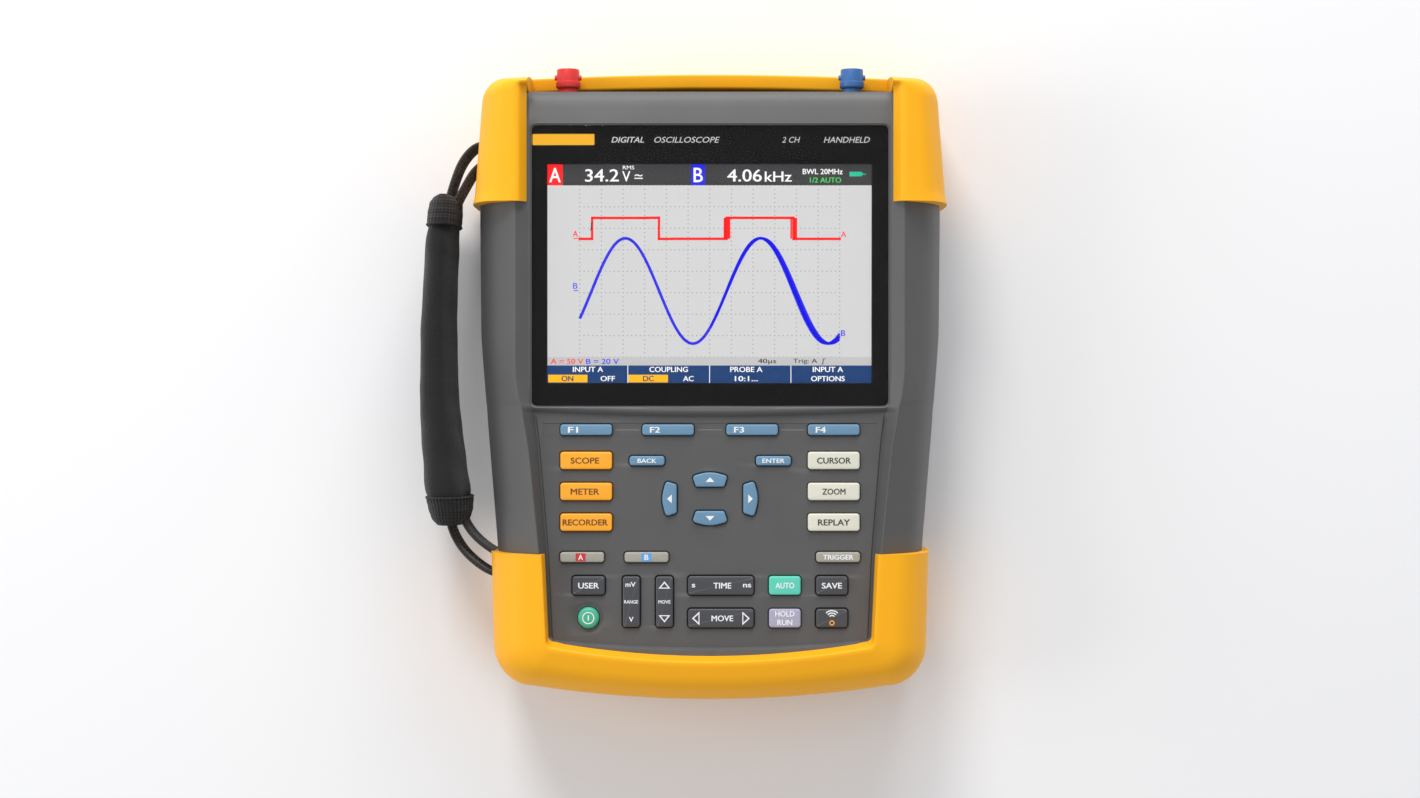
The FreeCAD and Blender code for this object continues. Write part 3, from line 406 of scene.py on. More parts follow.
def grain_group():
    """Fine moulded grain: two noises added, and a slow noise that shifts the roughness."""
    tree, given, result = new_group("Moulded grain", [("Scale", 2800.0), ("Spread", 40.0)],
                                    [("Height", "Float"), ("Tone", "Float"), ("Gloss", "Float")])
    place = add_node(tree, "TexCoord")
    fine = add_node(tree, "TexNoise")
    fine.inputs["Detail"].default_value = 3.0
    tree.links.new(place.outputs["Object"], fine.inputs["Vector"])
    tree.links.new(given.outputs["Scale"], fine.inputs["Scale"])
    pits = add_node(tree, "TexVoronoi")
    tree.links.new(place.outputs["Object"], pits.inputs["Vector"])
    tree.links.new(calculate(tree, "MULTIPLY", given.outputs["Scale"], 0.45), pits.inputs["Scale"])
    height = calculate(tree, "ADD", fine.outputs["Fac"],
                       calculate(tree, "MULTIPLY", pits.outputs["Distance"], 0.6))
    slow = add_node(tree, "TexNoise")
    slow.inputs["Detail"].default_value = 4.0
    tree.links.new(place.outputs["Object"], slow.inputs["Vector"])
    tree.links.new(given.outputs["Spread"], slow.inputs["Scale"])
    tree.links.new(height, result.inputs["Height"])
    tree.links.new(slow.outputs["Fac"], result.inputs["Tone"])
    gloss = calculate(tree, "ADD", calculate(tree, "MULTIPLY", slow.outputs["Fac"], 0.5),
                      calculate(tree, "MULTIPLY", fine.outputs["Fac"], 0.5))
    tree.links.new(gloss, result.inputs["Gloss"])
    return tree


def wear_group():
    """Rubbed edges: convex places, broken up by a noise."""
    tree, given, result = new_group("Edge wear", [("Amount", 0.5), ("Scale", 180.0)], [("Mask", "Float")])
    shape = add_node(tree, "NewGeometry")
    place = add_node(tree, "TexCoord")
    patch = add_node(tree, "TexNoise")
    patch.inputs["Detail"].default_value = 5.0
    tree.links.new(place.outputs["Object"], patch.inputs["Vector"])
    tree.links.new(given.outputs["Scale"], patch.inputs["Scale"])
    sharp = calculate(tree, "SUBTRACT", shape.outputs["Pointiness"], 0.515)
    sharp = calculate(tree, "MULTIPLY", sharp, 9.0)
    broken = calculate(tree, "MULTIPLY", sharp, calculate(tree, "ADD", patch.outputs["Fac"], 0.15))
    amount = add_node(tree, "Math", operation="MULTIPLY", use_clamp=True)
    tree.links.new(broken, amount.inputs[0])
    tree.links.new(given.outputs["Amount"], amount.inputs[1])
    tree.links.new(amount.outputs[0], result.inputs["Mask"])
    return tree


def dust_group():
    """A little dust on faces that look up, in patches."""
    tree, given, result = new_group("Dust", [("Amount", 0.05)], [("Mask", "Float")])
    shape = add_node(tree, "NewGeometry")
    split = add_node(tree, "SeparateXYZ")
    tree.links.new(shape.outputs["Normal"], split.inputs[0])
    place = add_node(tree, "TexCoord")
    patch = add_node(tree, "TexNoise")
    patch.inputs["Scale"].default_value = 55.0
    patch.inputs["Detail"].default_value = 6.0
    tree.links.new(place.outputs["Object"], patch.inputs["Vector"])
    up = add_node(tree, "Math", operation="MULTIPLY", use_clamp=True)
    tree.links.new(split.outputs["Z"], up.inputs[0])
    tree.links.new(patch.outputs["Fac"], up.inputs[1])
    tree.links.new(calculate(tree, "MULTIPLY", up.outputs[0], given.outputs["Amount"]), result.inputs["Mask"])
    return tree


def weave_group():
    """Over and under of a weave or knit from the piece's own UV map: product of two waves."""
    tree, given, result = new_group("Weave", [("Across", 20.0), ("Along", 60.0)],
                                    [("Height", "Float"), ("Tone", "Float")])
    place = add_node(tree, "UVMap", uv_map="cloth")
    split = add_node(tree, "SeparateXYZ")
    tree.links.new(place.outputs["UV"], split.inputs[0])
    turn = 2.0 * math.pi
    u = calculate(tree, "MULTIPLY", calculate(tree, "MULTIPLY", split.outputs["X"], given.outputs["Across"]),
                  turn)
    v = calculate(tree, "MULTIPLY", calculate(tree, "MULTIPLY", split.outputs["Y"], given.outputs["Along"]),
                  turn)
    rib = calculate(tree, "SINE", u)
    cross = calculate(tree, "SINE", calculate(tree, "ADD", v, calculate(tree, "MULTIPLY", rib, 1.3)))
    height = calculate(tree, "ADD", calculate(tree, "MULTIPLY", rib, 0.5),
                       calculate(tree, "MULTIPLY", cross, 0.5))
    fuzz_place = add_node(tree, "TexCoord")
    fuzz = add_node(tree, "TexNoise")
    fuzz.inputs["Scale"].default_value = 900.0
    fuzz.inputs["Detail"].default_value = 4.0
    tree.links.new(fuzz_place.outputs["Object"], fuzz.inputs["Vector"])
    both = calculate(tree, "ADD", height, calculate(tree, "MULTIPLY", fuzz.outputs["Fac"], 0.7))
    tree.links.new(both, result.inputs["Height"])
    tree.links.new(fuzz.outputs["Fac"], result.inputs["Tone"])
    return tree


GROUPS = {}


def group_node(tree, name, **values):
    """Places a shared group in a material with its own values."""
    makers = {"grain": grain_group, "wear": wear_group, "dust": dust_group, "weave": weave_group}
    if name not in GROUPS:
        GROUPS[name] = makers[name]()
    node = tree.nodes.new("ShaderNodeGroup")
    node.node_tree = GROUPS[name]
    for key, value in values.items():
        node.inputs[key].default_value = value
    return node


def blend_colour(tree, factor, first, second):
    """Mix node between two colours or sockets."""
    node = add_node(tree, "Mix", data_type="RGBA")
    if isinstance(factor, float):
        node.inputs[0].default_value = factor
    else:
        tree.links.new(factor, node.inputs[0])
    for socket, value in ((node.inputs[6], first), (node.inputs[7], second)):
        if isinstance(value, bpy.types.NodeSocket):
            tree.links.new(value, socket)
        else:
            socket.default_value = (*value[:3], 1.0)
    return node.outputs[2]


def shade(rgb, factor):
    """Colour scaled towards black or, above one, towards white."""
    return tuple(min(1.0, c * factor) for c in rgb)


def map_range(tree, value, low, high):
    """Maps a nought-to-one value to a range."""
    node = add_node(tree, "MapRange")
    tree.links.new(value, node.inputs["Value"])
    node.inputs["To Min"].default_value = low
    node.inputs["To Max"].default_value = high
    return node.outputs["Result"]


MATERIALS = {}


def moulded(name, rgb, rough=(0.45, 0.6), grain=2800.0, depth=0.00002, wear=0.35, dust=0.04,
            specular=0.5, metallic=0.0, tone=0.12):
    """Moulded plastic, rubber or metal: tone shifts slowly, grain in bump and gloss, edges rubbed, faint dust."""
    if name in MATERIALS:
        return MATERIALS[name]
    material = bpy.data.materials.new(name)
    material.use_nodes = True
    tree = material.node_tree
    shader = tree.nodes["Principled BSDF"]
    surface = group_node(tree, "grain", Scale=grain, Spread=38.0)
    worn = group_node(tree, "wear", Amount=wear)
    dusty = group_node(tree, "dust", Amount=dust)
    base = blend_colour(tree, surface.outputs["Tone"], shade(rgb, 1.0 - tone), shade(rgb, 1.0 + tone))
    base = blend_colour(tree, worn.outputs["Mask"], base, tuple(c * 0.6 + 0.16 for c in rgb))
    base = blend_colour(tree, dusty.outputs["Mask"], base, (0.55, 0.53, 0.50))
    tree.links.new(base, shader.inputs["Base Color"])
    tree.links.new(map_range(tree, surface.outputs["Gloss"], rough[0], rough[1]), shader.inputs["Roughness"])
    bump = add_node(tree, "Bump")
    bump.inputs["Strength"].default_value = 0.6
    bump.inputs["Distance"].default_value = depth
    tree.links.new(surface.outputs["Height"], bump.inputs["Height"])
    tree.links.new(bump.outputs["Normal"], shader.inputs["Normal"])
    shader.inputs["Specular IOR Level"].default_value = specular
    shader.inputs["Metallic"].default_value = metallic
    MATERIALS[name] = material
    return material


def cloth(name, rgb, across, along, depth, sheen=0.15):
    """Knit or woven fabric from the piece's UV map, with fuzz in colour and bump, painted shade in the weave's hollows
    and painted highlight on its raised threads.
    """
    if name in MATERIALS:
        return MATERIALS[name]
    material = bpy.data.materials.new(name)
    material.use_nodes = True
    tree = material.node_tree
    shader = tree.nodes["Principled BSDF"]
    threads = group_node(tree, "weave", Across=across, Along=along)
    dusty = group_node(tree, "dust", Amount=0.02)
    # Painted shade and highlight: the colour follows the thread height, darker in the hollows of the weave and lighter
    # on the raised threads, with the fuzz noise mixed in.
    base = blend_colour(tree, map_range(tree, threads.outputs["Height"], 0.25, 0.75), shade(rgb, 0.6),
                        shade(rgb, 1.35))
    base = blend_colour(tree, dusty.outputs["Mask"], base, (0.3, 0.29, 0.28))
    tree.links.new(base, shader.inputs["Base Color"])
    tree.links.new(map_range(tree, threads.outputs["Tone"], 0.8, 1.0), shader.inputs["Roughness"])
    bump = add_node(tree, "Bump")
    bump.inputs["Strength"].default_value = 0.9
    bump.inputs["Distance"].default_value = depth
    tree.links.new(threads.outputs["Height"], bump.inputs["Height"])
    tree.links.new(bump.outputs["Normal"], shader.inputs["Normal"])
    shader.inputs["Sheen Weight"].default_value = sheen
    shader.inputs["Sheen Roughness"].default_value = 0.6
    shader.inputs["Specular IOR Level"].default_value = 0.2
    MATERIALS[name] = material
    return material


def lit(name, rgb, strength=1.0):
    """Lit part of the screen picture: its own light, a little uneven, over a dark surface. Also used for the print on
    the window's border, whose glow is painted light.
    """
    if name in MATERIALS:
        return MATERIALS[name]
    material = bpy.data.materials.new(name)
    material.use_nodes = True
    tree = material.node_tree
    shader = tree.nodes["Principled BSDF"]
    shader.inputs["Base Color"].default_value = (*shade(rgb, 0.1), 1.0)
    shader.inputs["Roughness"].default_value = 0.5
    place = add_node(tree, "TexCoord")
    drift = add_node(tree, "TexNoise")
    drift.inputs["Scale"].default_value = 12.0
    tree.links.new(place.outputs["Object"], drift.inputs["Vector"])
    glow = blend_colour(tree, drift.outputs["Fac"], shade(rgb, 0.97), shade(rgb, 1.02))
    tree.links.new(glow, shader.inputs["Emission Color"])
    shader.inputs["Emission Strength"].default_value = strength
    MATERIALS[name] = material
    return material


def clear_glass():
    """Clear plate over the screen."""
    material = bpy.data.materials.new("Window glass")
    material.use_nodes = True
    tree = material.node_tree
    shader = tree.nodes["Principled BSDF"]
    shader.inputs["Base Color"].default_value = (1.0, 1.0, 1.0, 1.0)
    shader.inputs["Transmission Weight"].default_value = 1.0
    shader.inputs["IOR"].default_value = 1.1
    smear = group_node(tree, "grain", Scale=60.0, Spread=9.0)
    tree.links.new(map_range(tree, smear.outputs["Tone"], 0.0, 0.035), shader.inputs["Roughness"])
    return material


# ---------------------------------------------------------------- plan lines of the body

def along(points, blur=7.0):
    """Half-width as a smooth function of y: straight runs between (y, x) points, averaged over +-blur."""
    ys, xs = np.array(points, float).T
    shifts = np.linspace(-blur, blur, 9)

    def width(y):
        y = np.asarray(y, float)
        return np.mean([np.interp(y + s, ys, xs) for s in shifts], axis=0)
    return width


case_x = along([(-140.0, 87.6), (-70.4, 89.4), (-24.0, 93.2), (20.0, 96.7), (76.0, 97.2), (140.0, 92.3)])
crest_x = along([(-140.0, 66.8), (-70.4, 70.2), (-24.0, 74.8), (2.0, 80.0), (140.0, 80.0)])
foot_x = along([(-140.0, 64.4), (-70.4, 67.5), (-24.0, 71.3), (2.0, 74.8), (140.0, 74.8)], 4.0)
FOOT_END = -123.4
HEAD_BOW = 2.6
HEAD_END = CASE_HIGH[1]


def bend_path(side, start_y, end_y, radius, end_x=0.0, bow=0.0, counts=(30, 12, 24)):
    """Right half of a plan line: down the side from start_y, round a corner of the radius, then along the end,
    bowed outwards by bow * (1 - (x / corner)^2), to end_x."""
    way = 1.0 if end_y > start_y else -1.0
    turn_y = end_y - way * radius
    ys = np.linspace(start_y, turn_y, counts[0])
    run = np.column_stack([side(ys), ys])
    cx = run[-1, 0] - radius
    a = np.linspace(0.0, math.pi / 2.0, counts[1])[1:]
    corner = np.column_stack([cx + radius * np.cos(a), turn_y + way * radius * np.sin(a)])
    xs = np.linspace(cx, end_x, counts[2])[1:]
    end = np.column_stack([xs, end_y + way * bow * (1.0 - (xs / cx) ** 2)])
    path = np.concatenate([run, corner, end])
    return path


def mirror_path(half):
    """Right half of a plan line joined to its mirror image, ending on the left."""
    left = half[::-1] * [-1.0, 1.0]
    return np.concatenate([half, left[1:] if abs(half[-1, 0]) < 1e-6 else left])


def body_outline():
    """Whole plan line of the case at its widest, counter-clockwise."""
    low = bend_path(case_x, 0.0, FOOT_END, 15.0, bow=6.5)[::-1]
    high = bend_path(case_x, 0.0, HEAD_END - 3.2, 10.0)
    right = np.concatenate([low, high[1:]])
    return np.concatenate([right, (right[::-1] * [-1.0, 1.0])[1:-1]])


def side_cutters(z0, z1):
    """Cutters of the four strap slots through the sides between two heights."""
    parts = []
    for x, y in ((93.0, 98.5), (86.65, -76.0)):
        for side in (-1.0, 1.0):
            outline = rectangle(side * (x + 6.0), y, 23.0, 12.0, 2.4)
            parts.append(stacked(outline, [(0.0, z0), (0.0, z1)]))
    return parts


def cutter(parts):
    """One closed object from several separate cutter parts."""
    return clean(make_object("cutter", *join_parts(parts), smooth=False))


# ---------------------------------------------------------------- front half of the case

KEY_HOLES = []    # filled from the CAD keys: (node, x, y, width, height, radius)


def read_keys():
    """Key centres and sizes from the CAD frame."""
    KEY_HOLES.clear()
    for node in sorted(n for n in frame["nodes"] if n.startswith("key_") and n != "key_mat"):
        low, high = key_top_box(node)
        KEY_HOLES.append((node, (low[0] + high[0]) / 2, (low[1] + high[1]) / 2, high[0] - low[0],
                          high[1] - low[1]))
    return KEY_HOLES


def key_top_box(node):
    """Box of the part of a CAD key above the panel."""
    obj = frame["nodes"][node]
    count = len(obj.data.vertices)
    co = np.empty(count * 3)
    obj.data.vertices.foreach_get("co", co)
    world = np.array(obj.matrix_world)
    co = co.reshape(-1, 3) @ world[:3, :3].T + world[:3, 3]
    co = co[co[:, 2] > (PANEL_Z + 0.4) * MM] / MM
    return co.min(0), co.max(0)


def front_surface():
    """Front shell above the seam. Sections across x at stations along y: wall, shoulder, rail crest, slope
    down to the flat; the flat drops from the screen level to the keypad level through a bowed, rounded lip,
    and both ends bend down."""
    lip = [-13.2, -12.6, -12.0, -11.4, -10.8, -10.2, -9.6, -9.0, -8.6]
    y = np.unique(np.concatenate([np.linspace(-122.8, -108.0, 12), np.linspace(-107.0, -14.0, 60), lip,
                                  np.linspace(-7.5, 107.0, 64), np.linspace(108.0, 117.0, 5),
                                  [117.4, 118.2, 119.0, 119.6, 120.4, 121.0, 121.5, 121.8, BAY_Y]]))
    wall = case_x(y).copy()
    below = np.clip((FOOT_END + 15.0) - y, 0.0, 14.9)
    wall = wall - 15.0 + np.sqrt(225.0 - below ** 2)
    crest = np.minimum(crest_x(y), wall - 6.0)
    foot = np.minimum(foot_x(y), crest - 2.6)
    floor = np.interp(y, [-12.6, -12.0, -11.2, -10.4, -9.6, -9.0, -8.6],
                      [PANEL_Z, PANEL_Z + 0.15, PANEL_Z + 1.2, SCREEN_Z + 0.05, SCREEN_Z + 0.3,
                       SCREEN_Z + 0.2, SCREEN_Z])
    drop = np.interp(y, [117.2, 118.2, 119.6, 120.6, 121.4, BAY_Y], [0.0, 0.25, 0.95, 1.6, 2.4, 4.0])
    ceiling = np.interp(y, [-122.8, -117.0, -111.0, -108.0], [40.0, 50.0, 58.0, 90.0])
    tilt = np.interp(y, [108.2, 109.2, 117.4], [0.0, 0.2, 2.1])
    groove = 0.8 * np.clip((-13.4 - y) / 0.8, 0.0, 1.0) * np.clip((y + 107.0) / 3.0, 0.0, 1.0)
    corners = [(wall, SEAM_HIGH), (wall, 42.0), (wall - 5.0, 56.0), (crest + 0.4, CREST_Z - drop),
               (crest - 0.1, CREST_Z - drop),
               (foot, floor - drop - tilt - groove), (foot - 0.7, floor - drop - tilt - groove),
               (foot - 0.95, floor - drop - tilt), (foot - 6.0, floor - drop - tilt)]
    section = np.stack([np.stack([x, y, np.minimum(z, ceiling)], -1) for x, z in corners], 1)
    size = props().sizes
    half = round_profile(section, [0, 6.0, 6.0, size.crease / MM, size.crease / MM, 0.5, 0.2, 0.3, 0], 4)
    share = np.linspace(1.0, 0.0, 9)[1:, None]
    flat = np.repeat(half[:, -1:, :], 8, 1)
    flat[:, :, 0] *= share[:, 0][None, :]
    half = np.concatenate([half, flat], 1)
    near = np.exp(-((y + 10.8) / 3.2) ** 4)[:, None]
    bow = np.where(half[:, :, 0] < 73.0, 2.1 * (1.0 - (half[:, :, 0] / 73.0) ** 2), 0.0)
    half[:, :, 1] += near * (1.2 - bow)
    left = half[:, ::-1][:, 1:] * [-1.0, 1.0, 1.0]
    grid = np.concatenate([half, left], 1)
    rows, cols = grid.shape[:2]
    faces = grid_faces(rows, cols, wrap_cols=True)
    faces.append(list(range(cols))[::-1])
    faces.append([(rows - 1) * cols + i for i in range(cols)])
    return grid.reshape(-1, 3), faces


def front_cutters():
    """Everything taken out of the front shell: hollow, window seat, view hole, key holes, strip, jack holes."""
    ys = np.linspace(-102.0, 116.0, 40)
    right = np.column_stack([case_x(ys) - 9.0, ys])
    hollow = np.concatenate([right, right[::-1] * [-1.0, 1.0]])
    first = [stacked(hollow, [(0.0, SEAM_HIGH - 3.0), (0.0, 57.0)])]
    gx, gy = middle("display_window")[:2]
    width, height = (GLASS_HIGH - GLASS_LOW)[:2]
    seat = rectangle(gx, gy, width + 0.5, height + 0.5, 2.7)
    second = [stacked(seat, [(0.0, GLASS_LOW[2] - 0.6), (0.0, SCREEN_Z - 0.3), (-0.5, SCREEN_Z + 0.2), (-0.5,
                                                                                                        SCREEN_Z + 0.9)])]
    lx = middle("lcd_module")[0]
    third = [stacked(rectangle(lx, 46.6, 138.0, 94.0, 1.0), [(0.0, 55.0), (0.0, 63.0)])]
    for node, x, y, w, h in KEY_HOLES:
        if node == "key_power":
            hole = circle(x, y, w / 2.0 + 0.3)
            second.append(stacked(circle(x, y, 7.0),
                                  [(3.0, PANEL_Z - 0.8), (1.2, PANEL_Z - 0.62), (0.0, PANEL_Z + 0.1),
                                                      (0.0, PANEL_Z + 2.0)]))
            third.append(stacked(hole, [(0.0, 55.0), (0.0, PANEL_Z + 1.0)]))
        else:
            hole = inset(key_outline(node, x, y, w, h), -0.32)
            third.append(stacked(hole, [(0.0, 55.0), (0.0, PANEL_Z - 0.35), (-0.45, PANEL_Z + 0.1), (-0.45,
                                                                                                     PANEL_Z + 1.0)]))
    strip = [stacked(rectangle(0.0, -18.25, 138.0, 5.6, 0.3), [(0.0, PANEL_Z - 0.22), (0.0, PANEL_Z + 1.0)])]
    holes = []
    for node, radius in (("input_a_jack", 6.2), ("input_b_jack", 6.2), ("meter_jack_common", 6.35),
                         ("meter_jack_volt", 6.35)):
        x = middle(node)[0]
        holes.append(turned([(-6.0, radius), (6.0, radius)], (x, BAY_Y, JACK_Z), (0, 1, 0)))
    slots = side_cutters(STRAP_Z - 13.5, 45.5)
    return [first + second, third, strip + holes + slots]


def apron_surface():
    """Grey slope round the lower end of the keypad panel, between the panel and the bumper's skirt."""
    levels = [(foot_x, -105.0, 2.0, PANEL_Z - 0.1), (lambda y: foot_x(y) + 1.2, -106.2, 2.8, PANEL_Z + 2.0),
              (lambda y: crest_x(y) + 1.0, -110.4, 6.0, PANEL_Z + 2.0),
              (lambda y: crest_x(y) + 1.0, -110.4, 6.0, 56.0),
              (foot_x, -105.0, 2.0, 56.0)]
    return swept_levels(levels, -98.0, 0.0, 3.0, [0, 0, 0, 0, 0])


def swept_levels(levels, start_y, end_x, bow, radii, steps=3):
    """Closed ring of plan lines, one per level of the section: side line, end y, corner radius and height.
    The section's corners are rounded; both ends are flat."""
    lines = []
    for side, end_y, radius, z in levels:
        half = bend_path(side, start_y, end_y, radius, end_x, bow)
        path = mirror_path(half) if end_x == 0.0 else half
        lines.append(np.column_stack([path, np.full(len(path), z)]))
    points = np.stack(lines, 1)
    wrapped = np.concatenate([points[:, -1:], points, points[:, :1]], 1)
    rounded = round_profile(wrapped, [0] + radii + [0], steps)[:, 1:-1]
    rows, cols = rounded.shape[:2]
    faces = grid_faces(rows, cols, wrap_cols=True)
    faces.append(list(range(cols))[::-1])
    faces.append([(rows - 1) * cols + i for i in range(cols)])
    return rounded.reshape(-1, 3), faces


# ---------------------------------------------------------------- rear half and bumpers

def rear_surface():
    """Rear shell below the seam: the body's plan line drawn in towards the back face."""
    levels = [(6.6, 0.0), (5.9, 0.25), (5.3, 0.8), (1.1, 7.6), (0.4, 9.0), (0.0, 11.0), (0.0, SEAM_LOW - 0.5),
              (0.5, SEAM_LOW)]
    return stacked(body_outline(), levels)


def rear_cutters():
    """Door recess, battery bay, stand recess, screw holes, side recess, connector bay and strap slots."""
    door_low, door_high = span("battery_door")
    pack_low, pack_high = span("battery_pack")
    stand_low, stand_high = span("tilt_stand")
    cover_low, cover_high = span("port_cover")
    dx, dy = middle("battery_door")[:2]
    size = door_high - door_low
    first = [stacked(rectangle(dx, dy, size[0] + 0.6, size[1] + 0.6, 2.3),
                     [(-0.4, -1.0), (-0.4, 0.0), (0.0, 0.4),
                                                                         (0.0, door_high[2] + 0.1)]),
             stacked(rectangle(0.0, (stand_low[1] + stand_high[1]) / 2, stand_high[0] * 2 + 0.8,
                               stand_high[1] - stand_low[1] + 0.8, 1.2),
                     [(-0.5, -1.0), (-0.5, 0.0), (0.0, 0.5), (0.0, stand_high[2] + 0.4)])]
    px, py = middle("battery_pack")[:2]
    bay = pack_high - pack_low
    second = [stacked(rectangle(px, py, bay[0] + 0.8, bay[1] + 0.8, 2.0),
                      [(0.0, -1.0), (0.0, pack_high[2] + 0.4)]),
              box_part((-20.0, stand_low[1] - 7.0, -1.0), (20.0, stand_low[1] + 1.0, 3.0))]
    third = []
    for y in (85.0, -2.0, -62.0):
        for side in (-1.0, 1.0):
            x = side * (float(case_x(y)) - 11.0)
            third.append(stacked(circle(x, y, 3.0, 32), [(-0.5, -1.0), (-0.5, 0.0), (0.0, 0.5), (0.0, 16.0)]))
    third.append(stacked(rectangle(-0.5, 0, cover_high[1] - cover_low[1] + 1.6,
                                   cover_high[2] - cover_low[2] + 0.6, 1.0),
                         [(0.0, 0.0), (0.0, 12.0)]))
    verts, faces = third[-1]
    turned_verts = np.column_stack([verts[:, 2] + cover_low[0] - 0.1,
                                    verts[:, 0] + (cover_low[1] + cover_high[1]) / 2,
                                    verts[:, 1] + (cover_low[2] + cover_high[2]) / 2])
    third[-1] = (turned_verts, faces)
    holes = []
    for y, wide, tall in ((35.0, 13.6, 6.2), (49.0, 8.2, 4.4), (61.0, 9.0, 9.0)):
        holes.append(box_part((cover_low[0] - 16.0, y - wide / 2, STRAP_Z - 5.85 - tall / 2),
                              (cover_low[0] + 1.0, y + wide / 2, STRAP_Z - 5.85 + tall / 2)))
    bay_cut = [box_part((-76.0, BAY_Y, 28.0), (76.0, BAY_Y + 20.0, 60.0))]
    return [first, second, third, holes + bay_cut + side_cutters(18.5, 50.0)]


def foot_bumper_surface():
    """Rubber U round the lower end: skirt inside the rail, crest, shoulder, belt and back edge."""
    flare = lambda y: case_x(y) + RUBBER
    levels = [(lambda y: foot_x(y) + 0.55, -105.6, 2.4, PANEL_Z + 1.0),
              (lambda y: crest_x(y) - 1.2, -107.6, 3.0, TOP_Z),
              (crest_x, -109.2, 4.5, TOP_Z), (lambda y: case_x(y) - 7.5, -118.2, 11.0, TOP_Z - 2.2),
              (lambda y: case_x(y) + 0.2, -124.4, 15.0, 57.5),
              (flare, FOOT_END - RUBBER, 18.0, 42.0), (flare, FOOT_END - RUBBER, 18.0, 9.0),
              (lambda y: case_x(y) - 3.0, -120.4, 12.0, 0.0), (lambda y: case_x(y) - 6.4, -117.0, 10.0, 0.02),
              (lambda y: case_x(y) - 9.0, -114.4, 8.0, 9.0), (lambda y: crest_x(y) + 6.0, -112.0, 8.0, 50.0)]
    return swept_levels(levels, FOOT_HIGH[1] + 1.0, 0.0, 5.6,
                        [0.5, 0.7, 2.4, 7.0, 9.0, 8.0, 5.0, 2.0, 0.1, 0, 0], steps=4)


def cap_surface():
    """Rubber cap of the right top corner, with its lower lip standing a little proud."""
    lip = lambda y: 0.9 * np.exp(-((y - HEAD_LOW[1] + 1.1) / 2.6) ** 2)
    edge = 75.1
    top = HEAD_HIGH[1] - HEAD_BOW
    levels = [(lambda y: np.full_like(y, 75.5), top - 5.6, 0.3, SCREEN_Z + 0.45),
              (lambda y: crest_x(y) - 1.6, top - 4.6, 1.5, TOP_Z - 0.4),
              (lambda y: crest_x(y) + 0.4 + lip(y), top - 3.6, 3.5, TOP_Z),
              (lambda y: case_x(y) - 6.0 + lip(y), top - 3.2, 7.0, TOP_Z - 2.0),
              (lambda y: case_x(y) + 0.2 + lip(y), top - 1.2, 9.0, 57.5),
              (lambda y: case_x(y) + RUBBER - 0.6 + lip(y) * 0.6, top, 12.0, 42.0),
              (lambda y: case_x(y) + RUBBER - 0.6 + lip(y) * 0.6, top, 12.0, 9.0),
              (lambda y: case_x(y) - 3.0, HEAD_END - 3.0, 4.0, 0.0),
              (lambda y: case_x(y) - 6.4, HEAD_END - 6.4, 3.0, 0.02),
              (lambda y: case_x(y) - 9.0, HEAD_END - 9.0, 2.0, 9.0),
              (lambda y: crest_x(y) + 4.0, 119.0, 2.0, 50.0)]
    return swept_levels(levels, HEAD_LOW[1] - 1.1, edge, HEAD_BOW,
                        [0.4, 1.0, 2.6, 6.0, 9.0, 8.0, 5.0, 2.0, 0.1, 0, 0], steps=4)


def bar_surface():
    """Rubber bar behind the connectors, joining the two caps: one rounded section carried across."""
    section = np.array([[125.8, 6.0], [125.8, 39.5], [HEAD_HIGH[1], 40.2], [HEAD_HIGH[1], 9.0], [125.6, 0.02],
                        [122.4, 0.02], [122.4, 6.0]])
    xs = np.linspace(-76.5, 76.5, 40)
    points = np.stack([np.column_stack([np.full(len(section), x), section]) for x in xs])
    points[:, 1:4, 1] -= HEAD_BOW * (points[:, 1:4, 0] / 88.0) ** 2
    wrapped = np.concatenate([points[:, -1:], points, points[:, :1]], 1)
    rounded = round_profile(wrapped, [0, 0.5, 1.0, 1.0, 5.0, 2.0, 0, 0, 0], 4)[:, 1:-1]
    rows, cols = rounded.shape[:2]
    faces = grid_faces(rows, cols, wrap_cols=True)
    return rounded.reshape(-1, 3), faces + [list(range(cols))[::-1],
                                            [(rows - 1) * cols + i for i in range(cols)]]


# ---------------------------------------------------------------- keys and their legends

def key_outline(node, x, y, width, height):
    """Plan line of a key: round, arrow-shaped or a rounded rectangle."""
    if node == "key_power":
        return circle(x, y, width / 2.0, 40)
    if node in ("key_up", "key_down", "key_left", "key_right"):
        turn = {"key_up": 0.0, "key_left": 90.0, "key_down": 180.0, "key_right": 270.0}[node]
        half = max(width, height) / 2.0
        depth = min(width, height)
        low = -depth / 2.0
        line = rounded_outline([(-half * 0.8, low, 1.0), (half * 0.8, low, 1.0), (half, depth * 0.25, 1.3),
                                (0.0, depth / 2.0 + 0.6, 14.0), (-half, depth * 0.25, 1.3)], 6)
        a = math.radians(turn)
        spin = np.array([[math.cos(a), math.sin(a)], [-math.sin(a), math.cos(a)]])
        line = line @ spin
        mid = (line.max(0) + line.min(0)) / 2.0
        return line - mid + [x, y]
    return rectangle(x, y, width, height, 1.2, 5)


def letters(text, slant):
    """Text as flat faces at height nought: a text curve made a mesh."""
    curve = bpy.data.curves.new("print", "FONT")
    curve.body = text
    curve.size = 1.0
    curve.shear = slant
    curve.resolution_u = 3
    holder = bpy.data.objects.new("print", curve)
    bpy.context.scene.collection.objects.link(holder)
    depsgraph = bpy.context.evaluated_depsgraph_get()
    mesh = bpy.data.meshes.new_from_object(holder.evaluated_get(depsgraph))
    co = np.empty(len(mesh.vertices) * 3)
    mesh.vertices.foreach_get("co", co)
    faces = [list(p.vertices) for p in mesh.polygons]
    bpy.data.objects.remove(holder)
    bpy.data.curves.remove(curve)
    bpy.data.meshes.remove(mesh)
    return co.reshape(-1, 3), faces


def flat_shape(points, z):
    """One flat face through plan points at a height."""
    points = np.asarray(points, float)
    return np.column_stack([points, np.full(len(points), z)]), [list(range(len(points)))]


